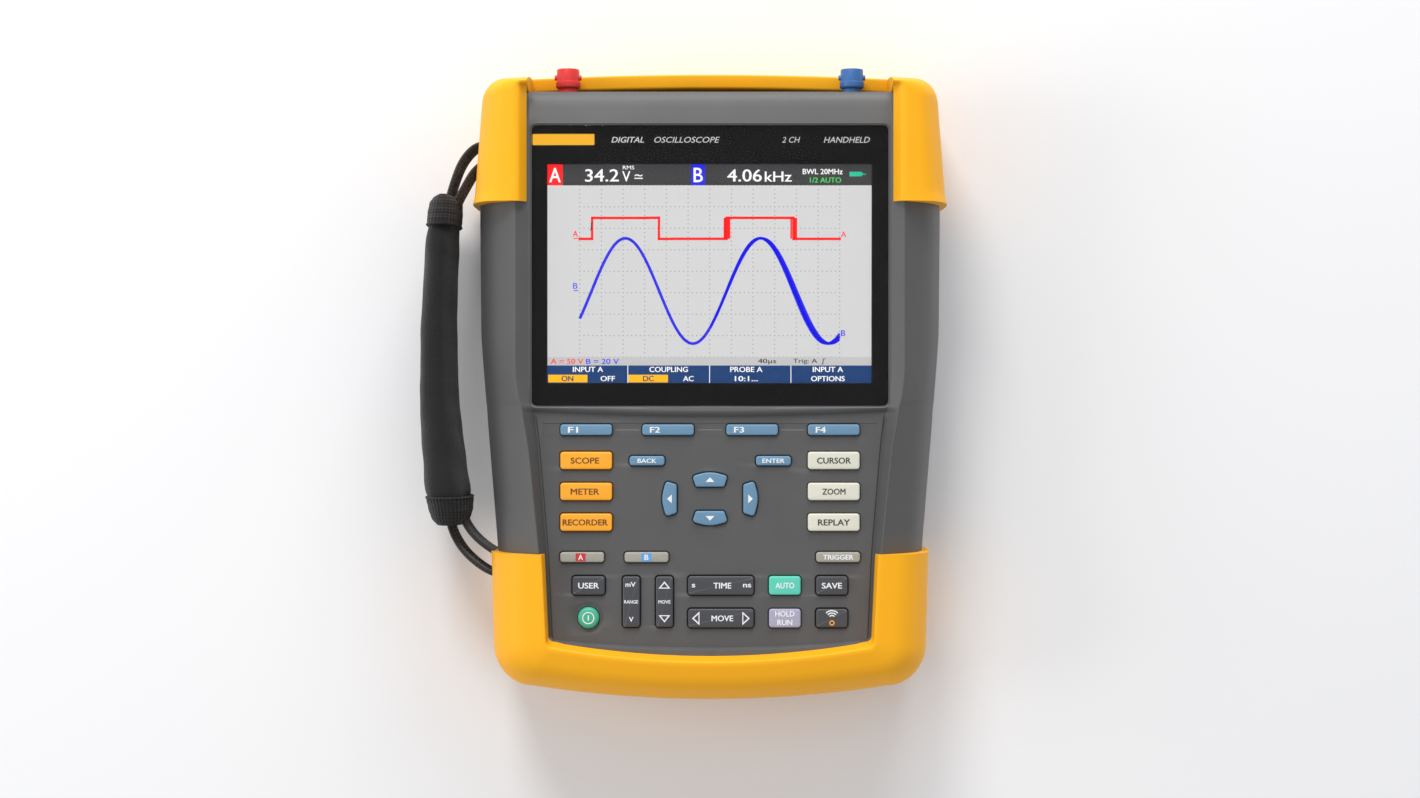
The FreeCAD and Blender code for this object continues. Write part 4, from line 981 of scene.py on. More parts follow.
def ring_shape(outer, inner, z):
    """Flat band between two plan lines with the same number of points."""
    count = len(outer)
    verts = np.column_stack([np.concatenate([outer, inner]), np.full(2 * count, z)])
    return verts, [[i, (i + 1) % count, count + (i + 1) % count, count + i] for i in range(count)]


def stroke(points, width, z):
    """Flat band of a width along an open plan line."""
    points = np.asarray(points, float)
    way = np.gradient(points, axis=0)
    way /= np.maximum(np.linalg.norm(way, axis=1, keepdims=True), 1e-9)
    side = np.column_stack([-way[:, 1], way[:, 0]]) * width / 2.0
    verts = np.concatenate([points + side, points - side])
    n = len(points)
    return np.column_stack([verts, np.full(2 * n, z)]), [[i, n + i, n + i + 1, i + 1] for i in range(n - 1)]


def thicken(part, amount):
    """Closed thin solid from flat faces: a second copy lower down and a wall along every open edge."""
    verts, faces = part
    verts = np.asarray(verts, float)
    count = len(verts)
    below = verts - [0.0, 0.0, amount]
    sides = set()
    for face in faces:
        for i, a in enumerate(face):
            sides.add((a, face[(i + 1) % len(face)]))
    walls = [[b, a, a + count, b + count] for a, b in sides if (b, a) not in sides]
    back = [[i + count for i in face][::-1] for face in faces]
    return np.concatenate([verts, below]), [list(f) for f in faces] + back + walls


def fitted(text, x, y, width, height, bold=0.022, slant=0.0, align="CENTER"):
    """Printed text scaled to an exact width and cap height in millimetres. Bold text is four shifted copies, each
    a few thousandths of a millimetre higher than the last so that no two faces meet in one plane."""
    verts, faces = letters(text, slant)
    shifts = [(-bold, 0.0), (bold, 0.0), (0.0, -0.5 * bold), (0.0, 0.5 * bold)] if bold else [(0.0, 0.0)]
    rise = np.repeat(np.arange(len(shifts)) * 0.005, len(verts))
    verts, faces = join_parts([(verts + [dx, dy, 0.0], faces) for dx, dy in shifts])
    low, high = verts.min(0), verts.max(0)
    verts = (verts - (low + high) / 2.0) / np.maximum(high - low, 1e-6) * [width, height, 0.0]
    shift = {"CENTER": 0.0, "LEFT": width / 2.0, "RIGHT": -width / 2.0}[align]
    return verts + np.column_stack([np.full(len(verts), x + shift), np.full(len(verts), y), rise]), faces


def triangle(x, y, width, height, turn):
    """Plan points of a triangle that points up, turned in degrees."""
    points = np.array([[-width / 2, -height / 2], [width / 2, -height / 2], [0.0, height / 2]])
    a = math.radians(turn)
    return points @ np.array([[math.cos(a), math.sin(a)], [-math.sin(a), math.cos(a)]]) + [x, y]


def outlined_triangle(x, y, width, height, turn, line):
    """Band round a triangle."""
    outer = triangle(x, y, width, height, turn)
    mid = outer.mean(0)
    return ring_shape(outer, mid + (outer - mid) * (1.0 - 2.6 * line / min(width, height)), 0.0)


def arc_band(x, y, radius, line, start, end, count=16):
    """Band along an arc, in degrees."""
    t = np.radians(np.linspace(start, end, count))
    return stroke(np.stack([x + radius * np.cos(t), y + radius * np.sin(t)], -1), line, 0.0)


def legends():
    """Legends of every key as (colour name, flat part relative to the key's middle)."""
    white, brown, dark = "white", "brown", "ink"
    words = {
        "key_f1": [("F1", -5.4, 0, 4.2, 2.4, white)], "key_f2": [("F2", -5.4, 0, 4.2, 2.4, white)],
        "key_f3": [("F3", -5.4, 0, 4.2, 2.4, white)], "key_f4": [("F4", -5.4, 0, 4.2, 2.4, white)],
        "key_scope": [("SCOPE", -0.5, 0, 11.8, 2.5, brown)],
        "key_meter": [("METER", -0.5, 0, 11.8, 2.5, brown)],
        "key_recorder": [("RECORDER", -0.4, 0, 18.6, 2.5, brown)],
        "key_cursor": [("CURSOR", 0, 0, 14.0, 2.5, dark)],
        "key_zoom": [("ZOOM", 0, 0, 9.6, 2.5, dark)], "key_replay": [("REPLAY", 0, 0, 13.2, 2.5, dark)],
        "key_back": [("BACK", 0, 0, 7.8, 1.8, white)], "key_enter": [("ENTER", 0, 0, 9.2, 1.8, white)],
        "key_trigger": [("TRIGGER", 0, 0, 12.6, 2.0, white)], "key_user": [("USER", 0, 0, 8.6, 2.4, white)],
        "key_save": [("SAVE", 0, 0, 8.4, 2.4, white)], "key_auto": [("AUTO", 0, 0, 7.8, 2.4, white)],
        "key_hold": [("HOLD", 0, 1.85, 8.0, 2.3, white), ("RUN", 0, -1.75, 6.2, 2.3, white)],
        "key_time": [("TIME", 0.6, 0, 7.4, 2.4, white), ("s", -11.3, 0, 1.5, 1.5, white),
                     ("ns", 10.8, 0, 3.4, 1.5, white)],
        "key_move_x": [("MOVE", 0.6, 0, 9.0, 2.4, white)],
        "key_range": [("mV", -0.3, 7.2, 4.2, 2.0, white), ("RANGE", 0, 0, 5.8, 1.4, white),
                      ("V", 0, -7.2, 1.9, 2.0, white)],
        "key_move_y": [("MOVE", 0, 0, 5.0, 1.4, white)],
        "key_input_a": [("A", -0.6, 0, 2.0, 2.2, white)], "key_input_b": [("B", 0, 0, 1.7, 2.2, white)],
    }
    out = {}
    for node, rows in words.items():
        out[node] = [(ink, fitted(text, x, y, w, h)) for text, x, y, w, h, ink in rows]
    for node, turn in (("key_up", 0), ("key_left", 90), ("key_down", 180), ("key_right", 270)):
        out[node] = [(white, flat_shape(triangle(0, 0, 3.6, 1.9, turn), 0.0))]
    out["key_move_y"] += [(white, outlined_triangle(0, 7.0, 4.9, 3.0, 0, 0.45)),
                          (white, outlined_triangle(0, -7.0, 4.9, 3.0, 180, 0.45))]
    out["key_move_x"] += [(white, outlined_triangle(-10.4, 0, 5.6, 3.1, 90, 0.45)),
                          (white, outlined_triangle(10.4, 0, 5.6, 3.1, 270, 0.45))]
    out["key_power"] = [(white, ring_shape(circle(0, 0, 2.5, 32), circle(0, 0, 2.1, 32), 0.0)),
                        (white, flat_shape(rectangle(0, 0.1, 0.5, 2.2, 0.2, 2), 0.0))]
    out["key_wireless"] = [(white, arc_band(0, -0.2, r, 0.5, 45, 135)) for r in (1.4, 2.4, 3.4)]
    out["key_wireless"].append(("amber", ring_shape(circle(0, -1.9, 1.1, 24), circle(0, -1.9, 0.65, 24), 0.0)))
    return out


KEY_COLOURS = {
    "key_f1": "key_blue", "key_f2": "key_blue", "key_f3": "key_blue", "key_f4": "key_blue",
    "key_back": "key_blue",
    "key_enter": "key_blue", "key_up": "key_blue", "key_down": "key_blue", "key_left": "key_blue",
    "key_right": "key_blue", "key_scope": "key_orange", "key_meter": "key_orange", "key_recorder": "key_orange",
    "key_cursor": "key_cream", "key_zoom": "key_cream", "key_replay": "key_cream", "key_input_a": "key_warm",
    "key_input_b": "key_warm", "key_trigger": "key_warm", "key_auto": "key_teal", "key_hold": "key_lavender",
    "key_power": "key_green",
}


def props():
    """The scene's oscilloscope settings."""
    return bpy.context.scene.oscilloscope


def print_material(ink):
    """Printed ink: flat colour with a soft unevenness."""
    inks = {"white": (0.86, 0.87, 0.88), "brown": (0.18, 0.06, 0.008), "ink": (0.055, 0.050, 0.045),
            "amber": (0.95, 0.42, 0.02), "red": (0.58, 0.030, 0.035), "sky": (0.10, 0.36, 0.72),
            "yellow": (1.0, 0.48, 0.02)}
    return moulded("Print " + ink, inks[ink], rough=(0.4, 0.55), depth=0.000004, wear=0.0, dust=0.0, tone=0.03)


def key_surface(node, x, y, width, height, crown):
    """A key: lip under the panel, straight wall, rounded edge and a top that rises by crown to its middle."""
    outline = key_outline(node, x, y, width, height)
    lip = 0.5
    levels = [(-lip, PANEL_Z - 3.6), (-lip, PANEL_Z - 2.8), (0.0, PANEL_Z - 2.7), (0.02, KEY_TOP_Z - 0.55),
              (0.08, KEY_TOP_Z - 0.3), (0.25, KEY_TOP_Z - 0.1), (0.55, KEY_TOP_Z - 0.02), (0.8, KEY_TOP_Z)]
    if node == "key_power":
        levels = [(-lip, PANEL_Z - 3.6), (-lip, PANEL_Z - 2.8), (0.0, PANEL_Z - 2.7), (0.05, KEY_TOP_Z - 1.1),
                  (0.35, KEY_TOP_Z - 0.55), (0.9, KEY_TOP_Z - 0.15), (1.5, KEY_TOP_Z)]
    return stacked(outline, levels, crown, 4)


def build_keys():
    """Makes every key and its legends, riding on the key's own body."""
    given = props()
    crown = given.sizes.key_crown / MM
    marks = legends()
    for node, x, y, width, height in read_keys():
        name = KEY_COLOURS.get(node, "key_dark")
        rgb = tuple(getattr(given.colours, name))
        material = moulded(name.replace("_", " ").capitalize(), rgb, rough=(0.38, 0.5), depth=0.000012,
                           wear=0.25,
                           dust=0.03, tone=0.06)
        key = clean(make_object(node + "_cap", *key_surface(node, x, y, width, height, crown), material,
                                angle=50.0))
        smooth_by_angle(key, 50.0)
        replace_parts(key, node)
        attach(key, body_name(node))
        layers = {}
        if node == "key_input_a":
            layers.setdefault("red", []).append((0.02, flat_shape(rectangle(-0.6, 0, 4.1, 3.3, 0.2, 2), 0.0)))
        if node == "key_input_b":
            layers.setdefault("sky", []).append((0.02, flat_shape(rectangle(0, 0, 4.1, 3.3, 0.2, 2), 0.0)))
        for ink, part in marks.get(node, []):
            layers.setdefault(ink, []).append((0.045, part))
        for ink, parts in layers.items():
            built = []
            for lift, (verts, faces) in parts:
                verts = np.array(verts, float)
                verts[:, 2] += KEY_TOP_Z + crown + lift
                verts[:, :2] += [x, y]
                built.append(thicken((verts, faces), crown + lift))
            legend = make_object(node + "_legend_" + ink, *join_parts(built), print_material(ink), smooth=False)
            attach(legend, body_name(node))


def body_name(node):
    """Body that a CAD node belongs to."""
    return frame["nodes"][node]["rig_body"]


# ---------------------------------------------------------------- window and screen picture

def screen_layers():
    """Screen picture as (ink, lift, parts): flat shapes over the lit area, in fractions of it turned to millimetres."""
    low, high = np.array([-67.3, 1.3]), np.array([66.9, 91.8])
    wide, tall = high - low

    def at(u, v):
        return low[0] + u * wide, low[1] + v * tall

    def area(u0, v0, u1, v1):
        (x0, y0), (x1, y1) = at(u0, v0), at(u1, v1)
        return flat_shape([[x0, y0], [x1, y0], [x1, y1], [x0, y1]], 0.0)

    def words(text, u, v, width, height, bold=0.012, align="CENTER"):
        x, y = at(u, v)
        return fitted(text, x, y, width, height, bold, align=align)

    def line(points, width):
        u, v = np.array(points, float).T
        return stroke(np.column_stack([low[0] + u * wide, low[1] + v * tall]), width, 0.0)

    dots = []
    us = np.linspace(0.0996, 0.902, 13)
    vs = np.linspace(0.118, 0.904, 9)
    for u in us:
        for v in np.linspace(0.118, 0.904, 41):
            dots.append(area(u - 0.0016, v - 0.0022, u + 0.0016, v + 0.0022))
    for v in vs:
        for u in np.linspace(0.0996, 0.902, 61):
            dots.append(area(u - 0.0014, v - 0.0024, u + 0.0014, v + 0.0024))
    low_v, high_v = 0.659, 0.755
    square = [(0.0996, low_v), (0.138, low_v), (0.138, high_v), (0.344, high_v), (0.344, low_v), (0.553, low_v),
              (0.553, high_v), (0.759, high_v), (0.759, low_v), (0.902, low_v)]
    red = []
    for (u0, v0), (u1, v1) in zip(square[:-1], square[1:]):
        t = 0.0075
        red.append(area(min(u0, u1) - t / 2, min(v0, v1) - t * 0.8, max(u0, u1) + t / 2, max(v0, v1) + t * 0.8))
    for u in (0.546, 0.549, 0.557, 0.562, 0.752, 0.763, 0.768):
        red.append(area(u - 0.0026, low_v, u + 0.0026, high_v))
    x = np.linspace(0.0996, 0.902, 160)
    blue = [line(np.column_stack([x, 0.4207 + 0.241 * np.cos(2 * math.pi * (x - 0.2406) / 0.417)]), 1.2)]
    late = x[x > 0.5]
    for shift in (-0.006, 0.002, 0.009):
        spread = shift * np.clip((late - 0.5) / 0.3, 0.0, 1.0)
        blue.append(line(np.column_stack([late,
                                          0.4207 + 0.241 * np.cos(2 * math.pi * (late - spread - 0.2406) / 0.417)]), 0.95))
    menu = [words("INPUT A", 0.125, 0.0615, 12.6, 2.2, 0.02), words("OFF", 0.186, 0.0195, 6.0, 2.2, 0.02),
            words("COUPLING", 0.374, 0.0615, 16.0, 2.2, 0.02), words("AC", 0.435, 0.0195, 4.4, 2.2, 0.02),
            words("PROBE A", 0.614, 0.0615, 13.4, 2.2, 0.02), words("10:1...", 0.614, 0.0195, 9.6, 2.2, 0.02),
            words("INPUT A", 0.866, 0.0615, 12.6, 2.2, 0.02), words("OPTIONS", 0.866, 0.0195, 14.0, 2.2, 0.02)]
    menu += [area(u - 0.0012, 0.0, u + 0.0012, 0.0796) for u in (0.248, 0.5006, 0.7517)]
    head = [words("34.2", 0.168, 0.949, 14.0, 5.2), words("V", 0.243, 0.944, 3.4, 4.4),
            words("RMS", 0.25, 0.985, 4.8, 1.6),
            words("~", 0.281, 0.949, 3.2, 0.9), area(0.268, 0.933, 0.294, 0.938),
            words("4.06", 0.608, 0.949, 14.4, 5.2), words("kHz", 0.712, 0.944, 11.2, 4.2),
            words("BWL 20MHz", 0.849, 0.967, 16.6, 2.3, 0.02), words("A", 0.0235, 0.951, 4.8, 6.0),
            words("B", 0.465, 0.951, 3.9, 6.0)]
    return [
        ("Paper", 0.10, (0.62, 0.62, 0.62), [area(0, 0, 1, 1)]),
        ("Head", 0.16, (0.040, 0.040, 0.042), [area(0, 0.904, 1, 1)]),
        ("Strip", 0.16, (0.52, 0.52, 0.52), [area(0, 0.0796, 1, 0.118)]),
        ("Menu", 0.16, (0.0012, 0.040, 0.162), [area(0, 0, 1, 0.0796)]),
        ("Dots", 0.15, (0.27, 0.27, 0.28), dots),
        ("Red", 0.20, (1.0, 0.008, 0.008), red + [area(0, 0.904, 0.0475, 1), words("A", 0.086, 0.683, 2.2, 2.4),
                                                 area(0.081, 0.659, 0.095, 0.663),
                                                 words("A", 0.914, 0.68, 2.2, 2.4),
                                                 words("A = 50 V", 0.060, 0.098, 13.6, 2.2)]),
        ("Blue", 0.19, (0.012, 0.010, 0.76),
         blue + [area(0.443, 0.904, 0.4865, 1), words("B", 0.086, 0.444, 1.8, 2.4),
                                                   area(0.081, 0.42, 0.095, 0.424),
                                                   words("B", 0.913, 0.228, 1.8, 2.4),
                                                   words("B = 20 V", 0.170, 0.098, 13.6, 2.2)]),
        ("Ink", 0.21, (0.012, 0.012, 0.014),
         [words("40µs", 0.678, 0.098, 7.6, 2.3), words("Trig: A", 0.796, 0.098, 10.0, 2.3),
                                             line([(0.846, 0.086), (0.850, 0.086), (0.852, 0.110),
                                                   (0.858, 0.110)], 0.4),
                                             line([(0.131, 0.70), (0.135, 0.70), (0.137, 0.735),
                                                   (0.141, 0.735)], 0.5)]),
        ("Amber", 0.20, (1.0, 0.486, 0.0),
         [area(0.002, 0.002, 0.1235, 0.037), area(0.250, 0.002, 0.372, 0.037)]),
        ("Text", 0.24, (0.93, 0.93, 0.94), head + menu),
        ("Deep", 0.24, (0.002, 0.030, 0.10),
         [words("ON", 0.0615, 0.0195, 5.0, 2.3, 0.03), words("DC", 0.312, 0.0195, 4.6, 2.3, 0.03)]),
        ("Green", 0.22, (0.06, 0.62, 0.12), [words("1/2 AUTO", 0.858, 0.928, 13.0, 2.2, 0.02)]),
        ("Teal", 0.22, (0.02, 0.52, 0.30), [area(0.932, 0.945, 0.970, 0.966), area(0.970, 0.951, 0.975, 0.960),
                                          area(0.976, 0.953, 0.983, 0.957)]),
    ]


def build_screen():
    """Glass plate, its black printed border, and the lit picture of the screen module under it."""
    x, y = middle("display_window")[:2]
    width, height = (GLASS_HIGH - GLASS_LOW)[:2]
    z0, z1 = GLASS_LOW[2], GLASS_HIGH[2]
    outline = rectangle(x, y, width - 0.3, height - 0.3, 2.3)
    glass = make_object("window_glass", *stacked(outline, [(0.25, z0 + 0.02), (0.0, z0 + 0.25), (0.0,
                                                                                                 z1 - 0.5),
                                                                                                 (0.12,
                                                                                                  z1 - 0.16),
                                                         (0.45, z1)]), clear_glass())
    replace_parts(clean(glass), "display_window")
    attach(glass, "root")
    hole = rectangle(-0.2, 46.55, 135.0, 91.4, 0.4)
    black = moulded("Window border", (0.0045, 0.0035, 0.0042), rough=(0.35, 0.45), depth=0.000002, wear=0.0,
                    dust=0.0,
                    specular=0.2, tone=0.03)
    border = make_object("window_border", *thicken(ring_shape(inset(outline, 0.1), hole, z0 - 0.02), 0.25),
                         black, smooth=False)
    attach(border, "root")
    rim = moulded("Window rim", (0.11, 0.105, 0.10), rough=(0.3, 0.4), depth=0.000004, wear=0.2)
    gasket = make_object("window_rim", *thicken(ring_shape(rectangle(x, y, width + 0.35, height + 0.35, 2.6),
                                                          inset(outline, 0.02), z1 - 0.35), 1.2), rim,
                                                          smooth=False)
    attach(gasket, "root")
    top = span("lcd_module")[1][2]
    for ink, lift, rgb, parts in screen_layers():
        layer = make_object("screen_" + ink.lower(), *thicken(join_parts(parts), 0.04),
                            lit("Screen " + ink, rgb), smooth=False)
        layer.location.z = 0.0
        co = np.empty(len(layer.data.vertices) * 3)
        layer.data.vertices.foreach_get("co", co)
        co = co.reshape(-1, 3)
        co[:, 2] += (top + lift) * MM
        layer.data.vertices.foreach_set("co", co.ravel())
        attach(layer, "root")
    words = [thicken(fitted("DIGITAL", -34.0, 101.6, 13.5, 2.4, 0.015, 0.25), 0.02),
             thicken(fitted("OSCILLOSCOPE", -9.5, 101.6, 27.0, 2.4, 0.0, 0.25), 0.02),
             thicken(fitted("2 CH", 33.5, 101.6, 7.4, 2.4, 0.0, 0.25), 0.02),
             thicken(fitted("HANDHELD", 56.5, 101.6, 19.0, 2.4, 0.0, 0.25), 0.02)]
    verts, faces = join_parts(words)
    verts[:, 2] += z0 + 0.005
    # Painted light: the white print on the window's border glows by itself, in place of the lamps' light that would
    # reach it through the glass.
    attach(make_object("window_words", verts, faces, lit("Window words", (0.62, 0.62, 0.63), 0.9),
                        smooth=False), "root")
    verts, faces = thicken(flat_shape(rectangle(-60.5, 101.7, 25.5, 4.6, 0.3, 2), 0.0), 0.02)
    verts[:, 2] += z0 + 0.005
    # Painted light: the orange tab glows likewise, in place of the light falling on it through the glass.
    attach(make_object("window_tab", verts, faces, lit("Window tab", (0.93, 0.46, 0.008), 0.9),
                        smooth=False), "root")


# ---------------------------------------------------------------- jacks

def build_jacks():
    """Two bayonet jacks: coloured neck, barrel and lugs, with a grounded tube, insulator and pin inside."""
    given = props().colours
    contact = moulded("Contact metal", (0.62, 0.58, 0.50), rough=(0.2, 0.32), grain=1200.0, depth=0.000004,
                      wear=0.1,
                      metallic=1.0)
    insulator = moulded("Insulator", (0.72, 0.70, 0.64), rough=(0.35, 0.45), wear=0.1)
    for node, rgb in (("input_a_jack", given.jack_red), ("input_b_jack", given.jack_blue)):
        x = middle(node)[0]
        tip = span(node)[1][1] - BAY_Y - 1.3
        start = (x, BAY_Y, JACK_Z)
        shell = [(-2.0, 3.9), (2.3, 3.95), (2.9, 4.95), (3.4, 5.15), (5.2, 5.15), (5.5, 4.75),
                 (tip - 0.5, 4.75),
                 (tip - 0.12, 4.6), (tip, 4.35), (tip, 4.12), (tip - 0.3, 3.95), (4.0, 3.95), (4.0, 0.01)]
        parts = [turned(shell, start, (0, 1, 0), 48)]
        for side in (-1.0, 1.0):
            parts.append(turned([(0.0, 1.15), (1.1, 1.15), (1.35, 0.95)],
                                (x + side * 4.3, BAY_Y + 7.2, JACK_Z), (side, 0, 0), 20))
        body = moulded(node.replace("_", " ").capitalize() + " plastic", tuple(rgb), rough=(0.35, 0.48),
                       depth=0.00001,
                       wear=0.3, tone=0.06)
        jack = clean(make_object(node + "_barrel", *join_parts(parts), body))
        smooth_by_angle(jack, 40.0)
        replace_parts(jack, node)
        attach(jack, "root")
        tube = turned([(3.8, 3.9), (tip - 0.6, 3.9), (tip - 0.6, 3.6), (4.6, 3.6), (4.6, 0.01)], start,
                      (0, 1, 0), 40)
        pin = turned([(4.0, 0.9), (tip - 3.0, 0.9), (tip - 2.6, 0.6)], start, (0, 1, 0), 24)
        lining = turned([(4.2, 2.4), (7.0, 2.4), (7.0, 1.2), (4.4, 1.2)], start, (0, 1, 0), 32)
        for name, part, look in (("contacts", join_parts([tube, pin]), contact),
                                 ("insulator", lining, insulator)):
            piece = clean(make_object(node + "_" + name, *part, look))
            smooth_by_angle(piece, 40.0)
            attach(piece, "root")


def build_sockets():
    """Two shrouded safety sockets, flush in the end wall: black collar, coloured liner with a deep bore."""
    black = moulded("Black plastic", (0.012, 0.012, 0.013), rough=(0.4, 0.55), wear=0.25)
    red = moulded("Red plastic", (0.55, 0.02, 0.02), rough=(0.35, 0.5), wear=0.2)
    for node, liner in (("meter_jack_common", black), ("meter_jack_volt", red)):
        low = span(node)[0]
        x = middle(node)[0]
        start = (x, BAY_Y, JACK_Z)
        back = low[1] - BAY_Y
        collar = turned([(back, 6.1), (0.05, 6.1), (0.3, 5.8), (0.3, 4.9), (-0.2, 4.7), (back + 1.0, 4.7),
                         (back + 1.0, 0.01)],
                        start, (0, 1, 0), 48)
        sleeve = turned([(back + 1.2, 4.6), (-0.9, 4.6), (-0.7, 4.3), (-0.7, 2.3), (-1.1, 2.05),
                         (back + 2.5, 2.05),
                         (back + 2.5, 0.01)], start, (0, 1, 0), 48)
        for name, part, look in (("collar", collar, black), ("liner", sleeve, liner)):
            piece = clean(make_object(node + "_" + name, *part, look))
            smooth_by_angle(piece, 40.0)
            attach(piece, "root")
            if name == "collar":
                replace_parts(piece, node)


# ---------------------------------------------------------------- hand strap

SLEEVE_EDGES = np.array([[80.5, -115.0, -109.0], [79.6, -117.2, -106.9], [77.5, -118.9, -105.6],
                         [73.0, -119.8, -105.6],
                         [68.0, -120.0, -106.2], [53.0, -120.8, -107.6], [24.0, -122.4, -109.2],
                         [-6.0, -122.9, -108.2],
                         [-27.0, -122.1, -105.2], [-42.0, -121.0, -102.0], [-48.0, -120.4, -100.9],
                         [-53.0, -119.3, -101.2],
                         [-56.5, -117.9, -102.4], [-58.5, -115.8, -104.2]])


def sleeve_rings(y, count, thin=0.0):
    """Rings of the sleeve at the given y: superellipses between its two plan edges, tall across the strap."""
    table = SLEEVE_EDGES[::-1]
    left = np.interp(y, table[:, 0], table[:, 1])
    right = np.interp(y, table[:, 0], table[:, 2])
    centre = (left + right) / 2.0
    half = (right - left) / 2.0 - thin
    low, high = span("strap_sleeve")
    tall = (high[2] - low[2]) / 2.0 - thin
    ends = np.minimum(80.8 - y, y + 59.5)
    height = tall * np.clip(0.72 + 0.28 * np.sqrt(np.clip(ends / 12.0, 0.0, 1.0)), 0.0, 1.0)
    t = np.linspace(0.0, 2.0 * math.pi, count, endpoint=False)
    c, s = np.cos(t), np.sin(t)
    shape_x = np.sign(c) * np.abs(c) ** 0.8
    shape_z = np.sign(s) * np.abs(s) ** 0.8
    x = centre[:, None] + half[:, None] * shape_x
    z = STRAP_Z + height[:, None] * shape_z
    return np.stack([x, np.repeat(y[:, None], count, 1), z], -1)


def closed_tube(rings):
    """Closed solid from rings of points, with flat ends."""
    rows, cols = rings.shape[:2]
    faces = grid_faces(rows, cols, wrap_cols=True)
    faces.append(list(range(cols))[::-1])
    faces.append([(rows - 1) * cols + i for i in range(cols)])
    return rings.reshape(-1, 3), faces


def map_cloth(obj):
    """Writes the piece's UV map: across is the angle round the sleeve's middle line, along is y."""
    mesh = obj.data
    co = np.empty(len(mesh.vertices) * 3)
    mesh.vertices.foreach_get("co", co)
    co = co.reshape(-1, 3) / MM
    table = SLEEVE_EDGES[::-1]
    mid = np.interp(co[:, 1], table[:, 0], (table[:, 1] + table[:, 2]) / 2.0)
    u = np.arctan2(co[:, 2] - STRAP_Z, (co[:, 0] - mid) * 2.5) / (2.0 * math.pi) + 0.5
    v = (co[:, 1] + 60.0) / 140.0
    index = np.empty(len(mesh.loops), int)
    mesh.loops.foreach_get("vertex_index", index)
    starts = np.empty(len(mesh.polygons), int)
    sizes = np.empty(len(mesh.polygons), int)
    mesh.polygons.foreach_get("loop_start", starts)
    mesh.polygons.foreach_get("loop_total", sizes)
    face_of = np.repeat(np.arange(len(starts)), sizes)
    order = np.repeat(starts, sizes) + np.arange(sizes.sum()) - np.repeat(np.cumsum(sizes) - sizes, sizes)
    uv = np.empty((len(index), 2))
    uv[order] = np.column_stack([u[index[order]], v[index[order]]])
    low = np.full(len(starts), 2.0)
    high = np.full(len(starts), -2.0)
    np.minimum.at(low, face_of, uv[order, 0])
    np.maximum.at(high, face_of, uv[order, 0])
    wide = (high - low > 0.5)[face_of]
    uv[order, 0] = np.where(wide & (uv[order, 0] < 0.5), uv[order, 0] + 1.0, uv[order, 0])
    layer = mesh.uv_layers.get("cloth") or mesh.uv_layers.new(name="cloth")
    layer.data.foreach_set("uv", uv.ravel())


def settle(obj, cap):
    """Cloth step for a padded piece: blown up a little without gravity, each point's move capped in millimetres."""
    remesh = obj.modifiers.new("even", "REMESH")
    remesh.mode = "VOXEL"
    remesh.voxel_size = 0.004
    apply_modifiers(obj)
    count = len(obj.data.vertices)
    before = np.empty(count * 3)
    obj.data.vertices.foreach_get("co", before)
    soft = obj.modifiers.new("soft", "CLOTH")
    soft.settings.use_pressure = True
    soft.settings.uniform_pressure_force = 4.0
    soft.settings.effector_weights.gravity = 0.0
    soft.settings.quality = 6
    soft.settings.tension_stiffness = 40.0
    soft.settings.compression_stiffness = 40.0
    soft.settings.bending_stiffness = 6.0
    for number in range(1, 21):
        bpy.context.scene.frame_set(number)
    apply_modifiers(obj)
    bpy.context.scene.frame_set(1)
    after = np.empty(count * 3)
    obj.data.vertices.foreach_get("co", after)
    move = (after - before).reshape(-1, 3)
    size = np.linalg.norm(move, axis=1, keepdims=True)
    limit = cap * MM
    move *= np.minimum(1.0, limit * np.tanh(size / limit) / np.maximum(size, 1e-9))
    obj.data.vertices.foreach_set("co", (before.reshape(-1, 3) + move).ravel())
    finer = obj.modifiers.new("finer", "SUBSURF")
    finer.levels = 1
    finer.render_levels = 1
    apply_modifiers(obj)


def crease(obj, height):
    """Slanting wrinkles on the sleeve: a sum of sine ridges, stronger towards the cuffs."""
    mesh = obj.data
    co = np.empty(len(mesh.vertices) * 3)
    normal = np.empty(len(mesh.vertices) * 3)
    mesh.vertices.foreach_get("co", co)
    mesh.vertex_normals.foreach_get("vector", normal)
    co = co.reshape(-1, 3)
    normal = normal.reshape(-1, 3)
    x, y, z = (co / MM).T
    wave = np.sin(y / 3.1 + z * 0.11 + 1.7 * np.sin(y / 13.0)) * np.sin(y / 7.7 - z * 0.19 + 0.6)
    wave += 0.6 * np.sin(y / 5.3 - z * 0.23 + x * 0.2)
    near = 0.35 + 0.9 * np.exp(-((y - 62.0) / 12.0) ** 2) + 1.1 * np.exp(-((y + 36.0) / 14.0) ** 2)
    co += normal * (wave * near * height * MM)[:, None]
    mesh.vertices.foreach_set("co", co.ravel())
    mesh.update()


